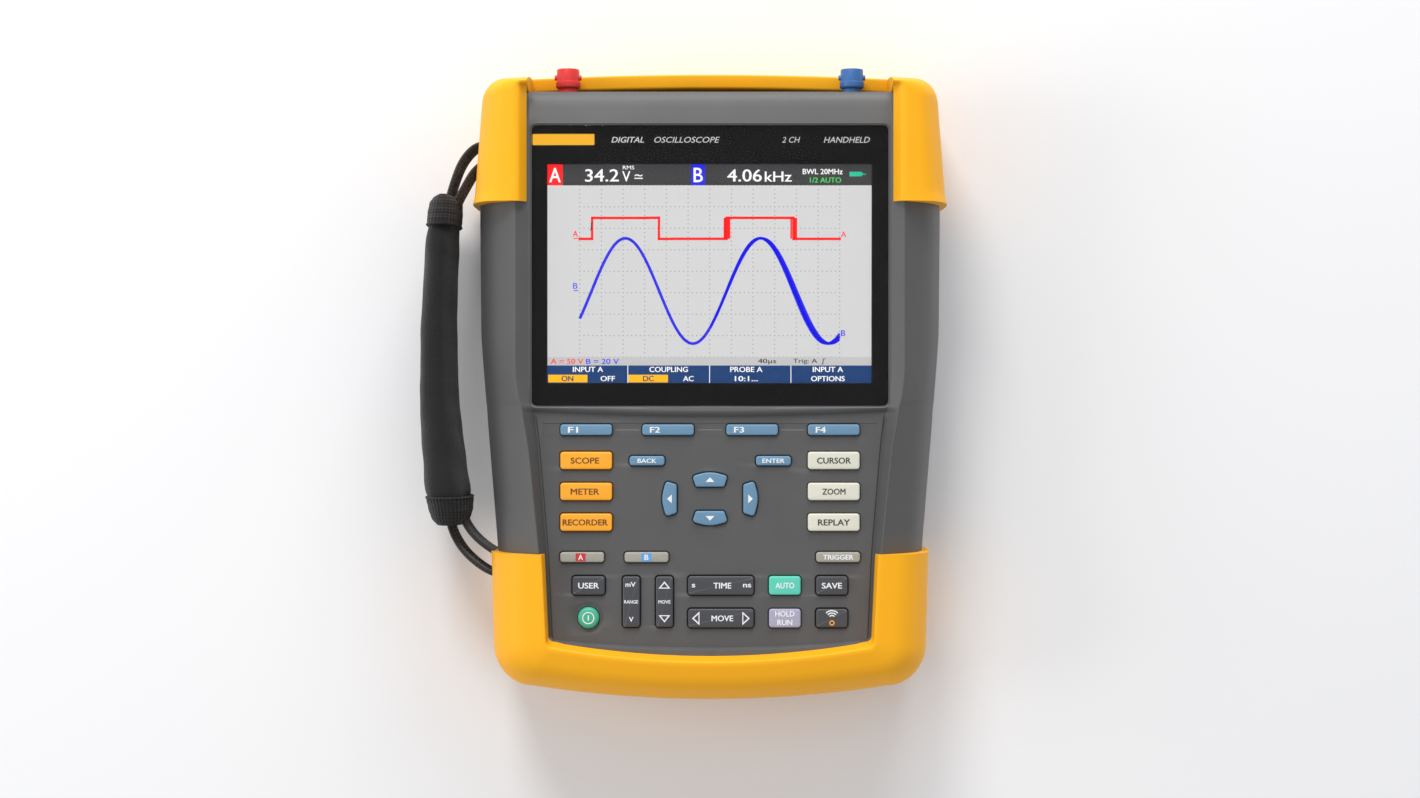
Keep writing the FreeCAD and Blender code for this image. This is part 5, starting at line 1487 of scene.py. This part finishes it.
def build_sleeve():
    """Padded sleeve between two knit cuffs, with a rolled seam where each cuff meets it."""
    given = props().colours
    knit = cloth("Sleeve knit", tuple(given.sleeve), 90.0, 150.0, 0.00010)
    cuff_knit = cloth("Cuff knit", shade(tuple(given.sleeve), 0.75), 40.0, 110.0, 0.00035)
    y = np.linspace(-49.0, 69.5, 70)
    pad = make_object("sleeve_padding", *closed_tube(sleeve_rings(y, 56, 0.5)), knit)
    clean(pad)
    settle(pad, 5.0)
    crease(pad, 0.28)
    pad.data.materials.clear()
    pad.data.materials.append(knit)
    map_cloth(pad)
    smooth_by_angle(pad, 80.0)
    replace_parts(pad, "strap_sleeve")
    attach(pad, "strap")
    for name, low_y, high_y in (("sleeve_cuff_upper", 67.5, 80.5), ("sleeve_cuff_lower", -58.5, -46.5)):
        y = np.linspace(low_y, high_y, 26)
        rings = sleeve_rings(y, 64, 0.25)
        fold = 0.5 * np.sin(y * 1.9)[:, None]
        mid = rings.mean(1, keepdims=True)
        rings = mid + (rings - mid) * (1.0 + 0.012 * fold[:, :, None])
        cuff = clean(make_object(name, *closed_tube(rings), cuff_knit))
        map_cloth(cuff)
        smooth_by_angle(cuff, 70.0)
        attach(cuff, "strap")
    for name, y in (("sleeve_seam_upper", 68.0), ("sleeve_seam_lower", -47.0)):
        path = sleeve_rings(np.array([y]), 72, 0.2)[0]
        way = np.roll(path, -1, 0) - np.roll(path, 1, 0)
        way /= np.linalg.norm(way, axis=1, keepdims=True)
        out = np.cross(way, [0.0, 1.0, 0.0])
        a = np.linspace(0.0, 2.0 * math.pi, 8, endpoint=False)
        rings = path[:, None] + 0.35 * (np.cos(a)[None, :, None] * out[:, None] + np.sin(a)[None, :,
                                                                                            None] * np.array([0.0, 1.0, 0.0]))
        seam = clean(make_object(name, rings.reshape(-1, 3), grid_faces(72, 8, True, True), cuff_knit))
        map_cloth(seam)
        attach(seam, "strap")


def smooth_path(points, rounds=4):
    """Corner cutting of an open path: each round replaces a run by its quarter points and keeps the ends."""
    points = np.asarray(points, float)
    for _ in range(rounds):
        q = points[:-1] * 0.75 + points[1:] * 0.25
        r = points[:-1] * 0.25 + points[1:] * 0.75
        middle_points = np.stack([q, r], 1).reshape(-1, points.shape[1])
        points = np.concatenate([points[:1], middle_points[1:-1], points[-1:]])
    return points


def build_webbing():
    """A webbing band at each end: from the sleeve round a steel post in the bumper and back into the sleeve."""
    material = cloth("Webbing weave", tuple(props().colours.webbing), 16.0, 60.0, 0.00025, sheen=0.3)
    loops = {
        "webbing_upper": ([(-114.0, 58.0), (-113.0, 68.0), (-111.0, 78.0), (-108.8, 86.0), (-105.6, 94.5),
                           (-101.0, 100.4), (-96.6, 102.4),
                           (-93.2, 102.6), (-89.8, 101.7), (-89.0, 98.5), (-89.9, 95.4), (-93.4, 94.5),
                           (-96.8, 93.8),
                           (-100.4, 90.6), (-103.8, 84.8), (-108.0, 77.0), (-111.0, 66.0), (-111.6, 58.0)],
                           98.5),
        "webbing_lower": ([(-111.4, -42.0), (-110.8, -56.0), (-108.8, -63.0), (-104.6, -69.8), (-98.6, -75.4),
                           (-92.4, -79.2),
                           (-87.2, -80.1), (-83.4, -79.1), (-82.6, -76.0), (-83.6, -72.9), (-87.2, -71.9),
                           (-92.4, -69.6),
                           (-97.8, -65.6), (-102.4, -60.6), (-105.6, -54.0), (-106.6, -42.0)], -76.0),
    }
    for name, (points, post_y) in loops.items():
        path = smooth_path(points, 3)
        way = np.gradient(path, axis=0)
        way /= np.linalg.norm(way, axis=1, keepdims=True)
        side = np.column_stack([-way[:, 1], way[:, 0]])
        section = inset(rectangle(0.0, 0.0, 1.7, 22.0, 0.8, 3), 0.0)
        rings = np.stack([path[:, None, 0] + side[:, None, 0] * section[None, :, 0],
                          path[:, None, 1] + side[:, None, 1] * section[None, :, 0],
                          np.repeat(STRAP_Z + section[None, :, 1], len(path), 0)], -1)
        band = make_object(name, *closed_tube(rings), material)
        clean(band)
        gone = np.concatenate([[0.0], np.cumsum(np.linalg.norm(np.diff(path, axis=0), axis=1))])
        mesh = band.data
        co = np.empty(len(mesh.vertices) * 3)
        mesh.vertices.foreach_get("co", co)
        co = co.reshape(-1, 3) / MM
        nearest = np.argmin(((co[:, None, :2] - path[None]) ** 2).sum(-1), 1)
        index = np.empty(len(mesh.loops), int)
        mesh.loops.foreach_get("vertex_index", index)
        layer = mesh.uv_layers.new(name="cloth")
        uv = np.column_stack([(co[index, 2] - STRAP_Z + 11.0) / 22.0, gone[nearest][index] / 100.0])
        layer.data.foreach_set("uv", uv.ravel())
        smooth_by_angle(band, 50.0)
        if name == "webbing_upper":
            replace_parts(band, "strap_webbing")
        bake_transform(band)


# ---------------------------------------------------------------- shells, bumpers and carried CAD parts

def shell_material():
    """Moulded grey of the case."""
    return moulded("Grey shell plastic", tuple(props().colours.case), rough=(0.42, 0.56),
                   grain=1.0 / props().sizes.grain,
                   depth=0.000022, wear=0.3, dust=0.05, tone=0.05)


def rubber_material():
    """Overmoulded yellow rubber."""
    return moulded("Bumper rubber", tuple(props().colours.rubber), rough=(0.46, 0.6),
                   grain=0.8 / props().sizes.grain,
                   depth=0.000026, wear=0.04, dust=0.008, specular=0.3, tone=0.03)


def build_front():
    """Front shell with its openings, and the slope round the keypad's lower end."""
    read_keys()
    shell = clean(make_object("front_shell", *front_surface(), shell_material(), smooth=False))
    for parts in front_cutters():
        cut_out(shell, cutter(parts))
    apron = clean(make_object("keypad_apron", *apron_surface(), shell_material()))
    smooth_by_angle(apron, 32.0)
    smooth_by_angle(shell, 32.0)
    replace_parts(shell, "front_case")
    for piece in (shell, apron):
        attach(piece, "root")
    lines = []
    for x in (-34.2, 0.0, 34.2):
        lines.append(thicken(flat_shape(rectangle(x, -18.25, 10.0, 0.18, 0.02, 1), 0.0), 0.02))
    verts, faces = join_parts(lines)
    verts[:, 2] += PANEL_Z - 0.19
    mark = moulded("Print line", (0.30, 0.30, 0.30), rough=(0.5, 0.6), depth=0.000004, wear=0.0, dust=0.0)
    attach(make_object("strip_marks", verts, faces, mark, smooth=False), "root")


def build_rear():
    """Rear shell with its bays, recesses and holes."""
    shell = clean(make_object("rear_shell", *rear_surface(), shell_material(), smooth=False))
    for parts in rear_cutters():
        cut_out(shell, cutter(parts))
    smooth_by_angle(shell, 32.0)
    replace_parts(shell, "rear_case")
    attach(shell, "root")


def build_bumpers():
    """Two corner caps joined by a bar, and the U round the lower end, with the strap slots through their sides."""
    verts, faces = cap_surface()
    other = (verts * [-1.0, 1.0, 1.0], [face[::-1] for face in faces])
    head = clean(make_object("corner_caps", *join_parts([(verts, faces), other]), rubber_material(),
                             smooth=False))
    bar = clean(make_object("connector_bar", *bar_surface(), rubber_material(), smooth=False))
    foot = clean(make_object("foot_bumper", *foot_bumper_surface(), rubber_material(), smooth=False))
    slots = side_cutters(18.5, 45.5)
    cut_out(head, cutter(slots[:2]))
    cut_out(foot, cutter(slots[2:]))
    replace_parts(head, "top_bumper")
    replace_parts(foot, "bottom_bumper")
    for piece in (head, bar, foot):
        smooth_by_angle(piece, 38.0)
        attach(piece, "root")


def finish_cad(node, material, bevel=0.0):
    """Gives a CAD node its material, and soft edges where a bevel is asked for."""
    obj = frame["nodes"][node]
    obj.data.materials.clear()
    obj.data.materials.append(material)
    if bevel:
        step = obj.modifiers.new("edges", "BEVEL")
        step.width = bevel * MM
        step.segments = 2
        step.limit_method = "ANGLE"
        step.angle_limit = math.radians(40.0)
        step.harden_normals = False


def build_fittings():
    """Materials, and eased edges, of the CAD parts that show as they are."""
    battery = moulded("Battery plastic", (0.018, 0.018, 0.020), rough=(0.4, 0.55), wear=0.3)
    black = moulded("Black plastic", (0.012, 0.012, 0.013), rough=(0.4, 0.55), wear=0.25)
    rubber = moulded("Black rubber", (0.010, 0.010, 0.010), rough=(0.7, 0.85), wear=0.1)
    foam = moulded("Foam", (0.03, 0.03, 0.03), rough=(0.85, 0.95), grain=900.0, depth=0.0002, wear=0.0)
    silicone = moulded("Silicone", (0.030, 0.031, 0.034), rough=(0.5, 0.65), wear=0.05)
    board = moulded("Circuit board", (0.012, 0.11, 0.045), rough=(0.3, 0.45), wear=0.1)
    alloy = moulded("Cast alloy", (0.42, 0.43, 0.44), rough=(0.4, 0.55), depth=0.00004, wear=0.3, metallic=1.0)
    tin = moulded("Tin plate", (0.60, 0.60, 0.58), rough=(0.25, 0.4), wear=0.2, metallic=1.0)
    steel = moulded("Steel", (0.50, 0.50, 0.50), rough=(0.25, 0.4), wear=0.4, metallic=1.0)
    dark_steel = moulded("Blackened steel", (0.06, 0.06, 0.06), rough=(0.35, 0.5), wear=0.6, metallic=1.0)
    panel = moulded("Screen panel", (0.02, 0.02, 0.022), rough=(0.2, 0.3), wear=0.0)
    plan = {
        "case_seal": (rubber, 0.0), "lcd_module": (panel, 0.0), "display_gasket": (foam, 0.0),
        "key_mat": (silicone, 0.0),
        "keypad_board": (board, 0.0), "chassis_frame": (alloy, 0.0), "main_board": (board, 0.0),
        "input_shields": (tin, 0.2), "usb_sockets": (steel, 0.1), "dc_inlet": (black, 0.1),
        "battery_pack": (battery, 0.8),
        "door_lock_1": (dark_steel, 0.2), "door_lock_2": (dark_steel, 0.2),
        "stand_pins": (steel, 0.1), "case_screws": (dark_steel, 0.0),
        "strap_posts": (steel, 0.2),
    }
    for node, (material, bevel) in plan.items():
        finish_cad(node, material, bevel)


def plate(node, radius, grow=-0.05, ease=0.4):
    """Rounded plate that fills a CAD plate's box."""
    low, high = span(node)
    size = high - low
    mid = (low + high) / 2.0
    outline = rectangle(mid[0], mid[1], size[0] + 2 * grow, size[1] + 2 * grow, radius)
    return stacked(outline, edge_levels(low[2], high[2], ease, 3))


def build_door():
    """Battery door: rounded plate with shallow grip channels and a round sink for each lock."""
    low, high = span("battery_door")
    plastic = moulded("Door plastic", (0.050, 0.051, 0.052), rough=(0.45, 0.6), wear=0.3)
    door = clean(make_object("door_plate", *plate("battery_door", 2.0, 0.0), plastic, smooth=False))
    cuts = []
    for y in np.arange(60.0, 101.0, 4.0):
        cuts.append(stacked(rectangle(0.0, y, 62.0, 1.6, 0.8, 3),
                            [(0.0, low[2] - 1.0), (0.0, low[2] + 0.3), (0.4, low[2] + 0.6)]))
    for node in ("door_lock_1", "door_lock_2"):
        x, y = middle(node)[:2]
        cuts.append(stacked(circle(x, y, 4.7, 40),
                            [(-0.3, low[2] - 1.0), (-0.3, low[2]), (0.0, low[2] + 0.3), (0.0, low[2] + 1.2)]))
        cuts.append(stacked(circle(x + 0.001, y, 2.6, 32), [(0.0, low[2] + 1.1), (0.0, high[2] + 1.0)]))
    for part in cuts:
        cut_out(door, cutter([part]))
    smooth_by_angle(door, 32.0)
    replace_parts(door, "battery_door")
    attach(door, "door")


def build_stand():
    """Tilt stand: rounded leg with a hollowed outer face, cross ribs, a finger notch and a round hinge edge."""
    low, high = span("tilt_stand")
    plastic = moulded("Door plastic", (0.050, 0.051, 0.052), rough=(0.45, 0.6), wear=0.3)
    hinge = high[1] - (high[2] - low[2]) / 2.0
    thick = high[2] - low[2]
    mid_y = (low[1] + hinge) / 2.0
    outline = rectangle(0.0, mid_y, high[0] - low[0], hinge - low[1], 1.6)
    leg = clean(make_object("stand_leg", *stacked(outline, edge_levels(low[2], high[2], 0.7, 3)), plastic,
                            smooth=False))
    notch = stacked(rectangle(0.0, low[1] - 2.0, 40.0, 28.0, 4.0), [(-0.4, low[2] - 1.0), (-0.4, low[2] - 0.01),
                                                                   (0.0, low[2] + 0.5), (0.0, high[2] + 1.0)])
    cut_out(leg, cutter([notch]))
    pockets = []
    for y in (-48.0, -31.0, -14.0, 3.0):
        for x in (-34.0, -11.5, 11.5, 34.0):
            pockets.append(stacked(rectangle(x, y, 20.0, 14.0, 1.6, 4),
                                   [(-0.25, low[2] - 1.0), (-0.25, low[2]), (0.0, low[2] + 0.3),
                                                                       (0.1, low[2] + 2.4)]))
    cut_out(leg, cutter(pockets))
    barrel = turned([(0.0, thick / 2 - 0.3), (0.3, thick / 2), (high[0] - low[0] - 0.3, thick / 2),
                     (high[0] - low[0], thick / 2 - 0.3)],
                    (low[0], hinge, low[2] + thick / 2), (1, 0, 0), 32)
    edge = clean(make_object("stand_hinge", *barrel, plastic))
    for piece in (leg, edge):
        smooth_by_angle(piece, 32.0)
        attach(piece, "stand")
    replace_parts(leg, "tilt_stand")


def build_cover():
    """Rubber flap over the side sockets: flat outer face with rounded edges and grip ribs, and a round hinge edge."""
    low, high = span("port_cover")
    rubber = moulded("Black rubber", (0.010, 0.010, 0.010), rough=(0.7, 0.85), wear=0.1)
    radius = (high[0] - low[0]) / 2.0
    mid = (low + high) / 2.0
    flap = rectangle(mid[1] + radius / 2, mid[2], high[1] - low[1] - radius, high[2] - low[2], 1.0)
    verts, faces = stacked(flap, edge_levels(low[0], high[0], 0.35, 3))
    parts = [(verts[:, [2, 0, 1]], faces)]
    parts.append(turned([(0.0, radius - 0.1), (0.2, radius), (high[2] - low[2] - 0.2, radius),
                         (high[2] - low[2], radius - 0.1)],
                        (mid[0], low[1] + radius, low[2]), (0, 0, 1), 24))
    for y in (61.0, 63.0, 65.0):
        verts, faces = stacked(rectangle(y, mid[2], 0.8, 7.0, 0.4, 3),
                               [(0.0, high[0] - 0.2), (0.0, high[0] + 0.1), (0.2, high[0] + 0.3)])
        parts.append((verts[:, [2, 0, 1]], faces))
    cover = clean(make_object("side_flap", *join_parts(parts), rubber))
    smooth_by_angle(cover, 38.0)
    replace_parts(cover, "port_cover")
    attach(cover, "side_cover")


# ---------------------------------------------------------------- stage

def build_stage():
    """Pale floor, a soft key light from the upper left, fill lights and a camera straight above."""
    scene = bpy.context.scene
    height = props().sizes.view_height
    floor = make_object("floor", [(-3000, -3000, 0), (3000, -3000, 0), (3000, 3000, 0), (-3000, 3000, 0)],
                        [[0, 1, 2, 3]],
                        None, smooth=False)
    paper = bpy.data.materials.new("Floor paper")
    paper.use_nodes = True
    shader = paper.node_tree.nodes["Principled BSDF"]
    shader.inputs["Base Color"].default_value = (0.88, 0.88, 0.885, 1.0)
    shader.inputs["Roughness"].default_value = 0.9
    shader.inputs["Specular IOR Level"].default_value = 0.1
    floor.data.materials.append(paper)
    world = bpy.data.worlds.new("Studio") if scene.world is None else scene.world
    scene.world = world
    world.use_nodes = True
    back = world.node_tree.nodes["Background"]
    back.inputs["Color"].default_value = (0.96, 0.97, 1.0, 1.0)
    back.inputs["Strength"].default_value = 0.57
    lamps = [("key_light", (-0.42, 1.55, 1.3), 0.7, 19.5, (1.0, 0.995, 0.98)),
             ("side_light", (-1.5, 0.0, 0.9), 0.9, 7.5, (1.0, 1.0, 1.0)),
             ("far_light", (0.3, 1.8, 0.62), 0.9, 17.0, (1.0, 1.0, 1.0))]
    target = Vector((0.0, 0.0, 0.03))
    for name, place, size, power, rgb in lamps:
        light = bpy.data.lights.new(name, "AREA")
        light.shape = "DISK"
        light.size = size
        light.energy = power
        light.color = rgb
        holder = bpy.data.objects.new(name, light)
        holder.location = place
        holder.rotation_euler = (target - Vector(place)).to_track_quat("-Z", "Y").to_euler()
        scene.collection.objects.link(holder)
    lens = bpy.data.cameras.new("camera")
    lens.lens = 59.7
    lens.sensor_width = 36.0
    lens.clip_start = 0.01
    lens.clip_end = 20.0
    camera = bpy.data.objects.new("camera", lens)
    camera.location = (0.0, -0.0055, height)
    camera.rotation_euler = (0.0, 0.0, 0.0)
    scene.collection.objects.link(camera)
    scene.camera = camera
    scene.view_settings.view_transform = "Standard"


# ---------------------------------------------------------------- operators and panel

def run(maker):
    """Runs one maker and reports what it could not finish."""
    before = set(bpy.data.objects)
    maker()
    if set(bpy.data.objects) == before and maker is not build_fittings:
        raise RuntimeError(maker.__name__ + " made nothing")
    return {"FINISHED"}


class OSCILLOSCOPE_OT_front(bpy.types.Operator):
    """Build the front half of the case"""
    bl_idname = "oscilloscope.front"
    bl_label = "Front Case"

    def execute(self, context):
        return run(build_front)


class OSCILLOSCOPE_OT_rear(bpy.types.Operator):
    """Build the rear half of the case"""
    bl_idname = "oscilloscope.rear"
    bl_label = "Rear Case"

    def execute(self, context):
        return run(build_rear)


class OSCILLOSCOPE_OT_bumpers(bpy.types.Operator):
    """Build the rubber bumpers"""
    bl_idname = "oscilloscope.bumpers"
    bl_label = "Bumpers"

    def execute(self, context):
        return run(build_bumpers)


class OSCILLOSCOPE_OT_screen(bpy.types.Operator):
    """Build the window and the lit screen picture"""
    bl_idname = "oscilloscope.screen"
    bl_label = "Screen"

    def execute(self, context):
        return run(build_screen)


class OSCILLOSCOPE_OT_keys(bpy.types.Operator):
    """Build every key with its legend"""
    bl_idname = "oscilloscope.keys"
    bl_label = "Keys"

    def execute(self, context):
        return run(build_keys)


class OSCILLOSCOPE_OT_jacks(bpy.types.Operator):
    """Build the two bayonet jacks"""
    bl_idname = "oscilloscope.jacks"
    bl_label = "Input Jacks"

    def execute(self, context):
        run(build_jacks)
        return run(build_sockets)


class OSCILLOSCOPE_OT_sleeve(bpy.types.Operator):
    """Build the padded sleeve of the hand strap"""
    bl_idname = "oscilloscope.sleeve"
    bl_label = "Strap Sleeve"

    def execute(self, context):
        return run(build_sleeve)


class OSCILLOSCOPE_OT_webbing(bpy.types.Operator):
    """Build the webbing of the hand strap"""
    bl_idname = "oscilloscope.webbing"
    bl_label = "Strap Webbing"

    def execute(self, context):
        return run(build_webbing)


class OSCILLOSCOPE_OT_fittings(bpy.types.Operator):
    """Give the carried CAD parts their materials"""
    bl_idname = "oscilloscope.fittings"
    bl_label = "Fittings"

    def execute(self, context):
        return run(build_fittings)


class OSCILLOSCOPE_OT_back(bpy.types.Operator):
    """Build the battery door, the tilt stand and the side cover"""
    bl_idname = "oscilloscope.back"
    bl_label = "Door, Stand and Cover"

    def execute(self, context):
        run(build_door)
        run(build_stand)
        return run(build_cover)


class OSCILLOSCOPE_OT_stage(bpy.types.Operator):
    """Build the floor, lights and camera"""
    bl_idname = "oscilloscope.stage"
    bl_label = "Stage"

    def execute(self, context):
        return run(build_stage)


class ScopeSettings(bpy.types.PropertyGroup):
    """All settings of the oscilloscope"""
    colours: bpy.props.PointerProperty(name="Colours", description="Colours of the pieces", type=ScopeColours)
    sizes: bpy.props.PointerProperty(name="Sizes", description="Sizes of the visible detail", type=ScopeSizes)


STEPS = (OSCILLOSCOPE_OT_front, OSCILLOSCOPE_OT_rear, OSCILLOSCOPE_OT_bumpers, OSCILLOSCOPE_OT_screen,
         OSCILLOSCOPE_OT_keys, OSCILLOSCOPE_OT_jacks, OSCILLOSCOPE_OT_sleeve, OSCILLOSCOPE_OT_webbing,
         OSCILLOSCOPE_OT_fittings, OSCILLOSCOPE_OT_back, OSCILLOSCOPE_OT_stage)


class OSCILLOSCOPE_PT_panel(bpy.types.Panel):
    """Sidebar panel that lists the settings and the pieces in building order"""
    bl_label = "Handheld Oscilloscope"
    bl_idname = "OSCILLOSCOPE_PT_panel"
    bl_space_type = "VIEW_3D"
    bl_region_type = "UI"
    bl_category = "Oscilloscope"

    def draw(self, context):
        settings = context.scene.oscilloscope
        for group in (settings.colours, settings.sizes):
            box = self.layout.box()
            for name in type(group).__annotations__:
                box.prop(group, name)
        for step in STEPS:
            self.layout.operator(step.bl_idname)


CLASSES = (ScopeColours, ScopeSizes, ScopeSettings) + STEPS + (OSCILLOSCOPE_PT_panel,)


def register():
    """Registers the classes and the scene's settings."""
    for cls in CLASSES:
        bpy.utils.register_class(cls)
    bpy.types.Scene.oscilloscope = bpy.props.PointerProperty(
        name="Oscilloscope", description="Settings of the handheld oscilloscope", type=ScopeSettings)


def unregister():
    """Removes the settings and the classes."""
    del bpy.types.Scene.oscilloscope
    for cls in reversed(CLASSES):
        bpy.utils.unregister_class(cls)


def main():
    """Builds every piece in order."""
    register()
    for step in STEPS:
        group, name = step.bl_idname.split(".")
        getattr(getattr(bpy.ops, group), name)()


if __name__ == "__main__":
    main()
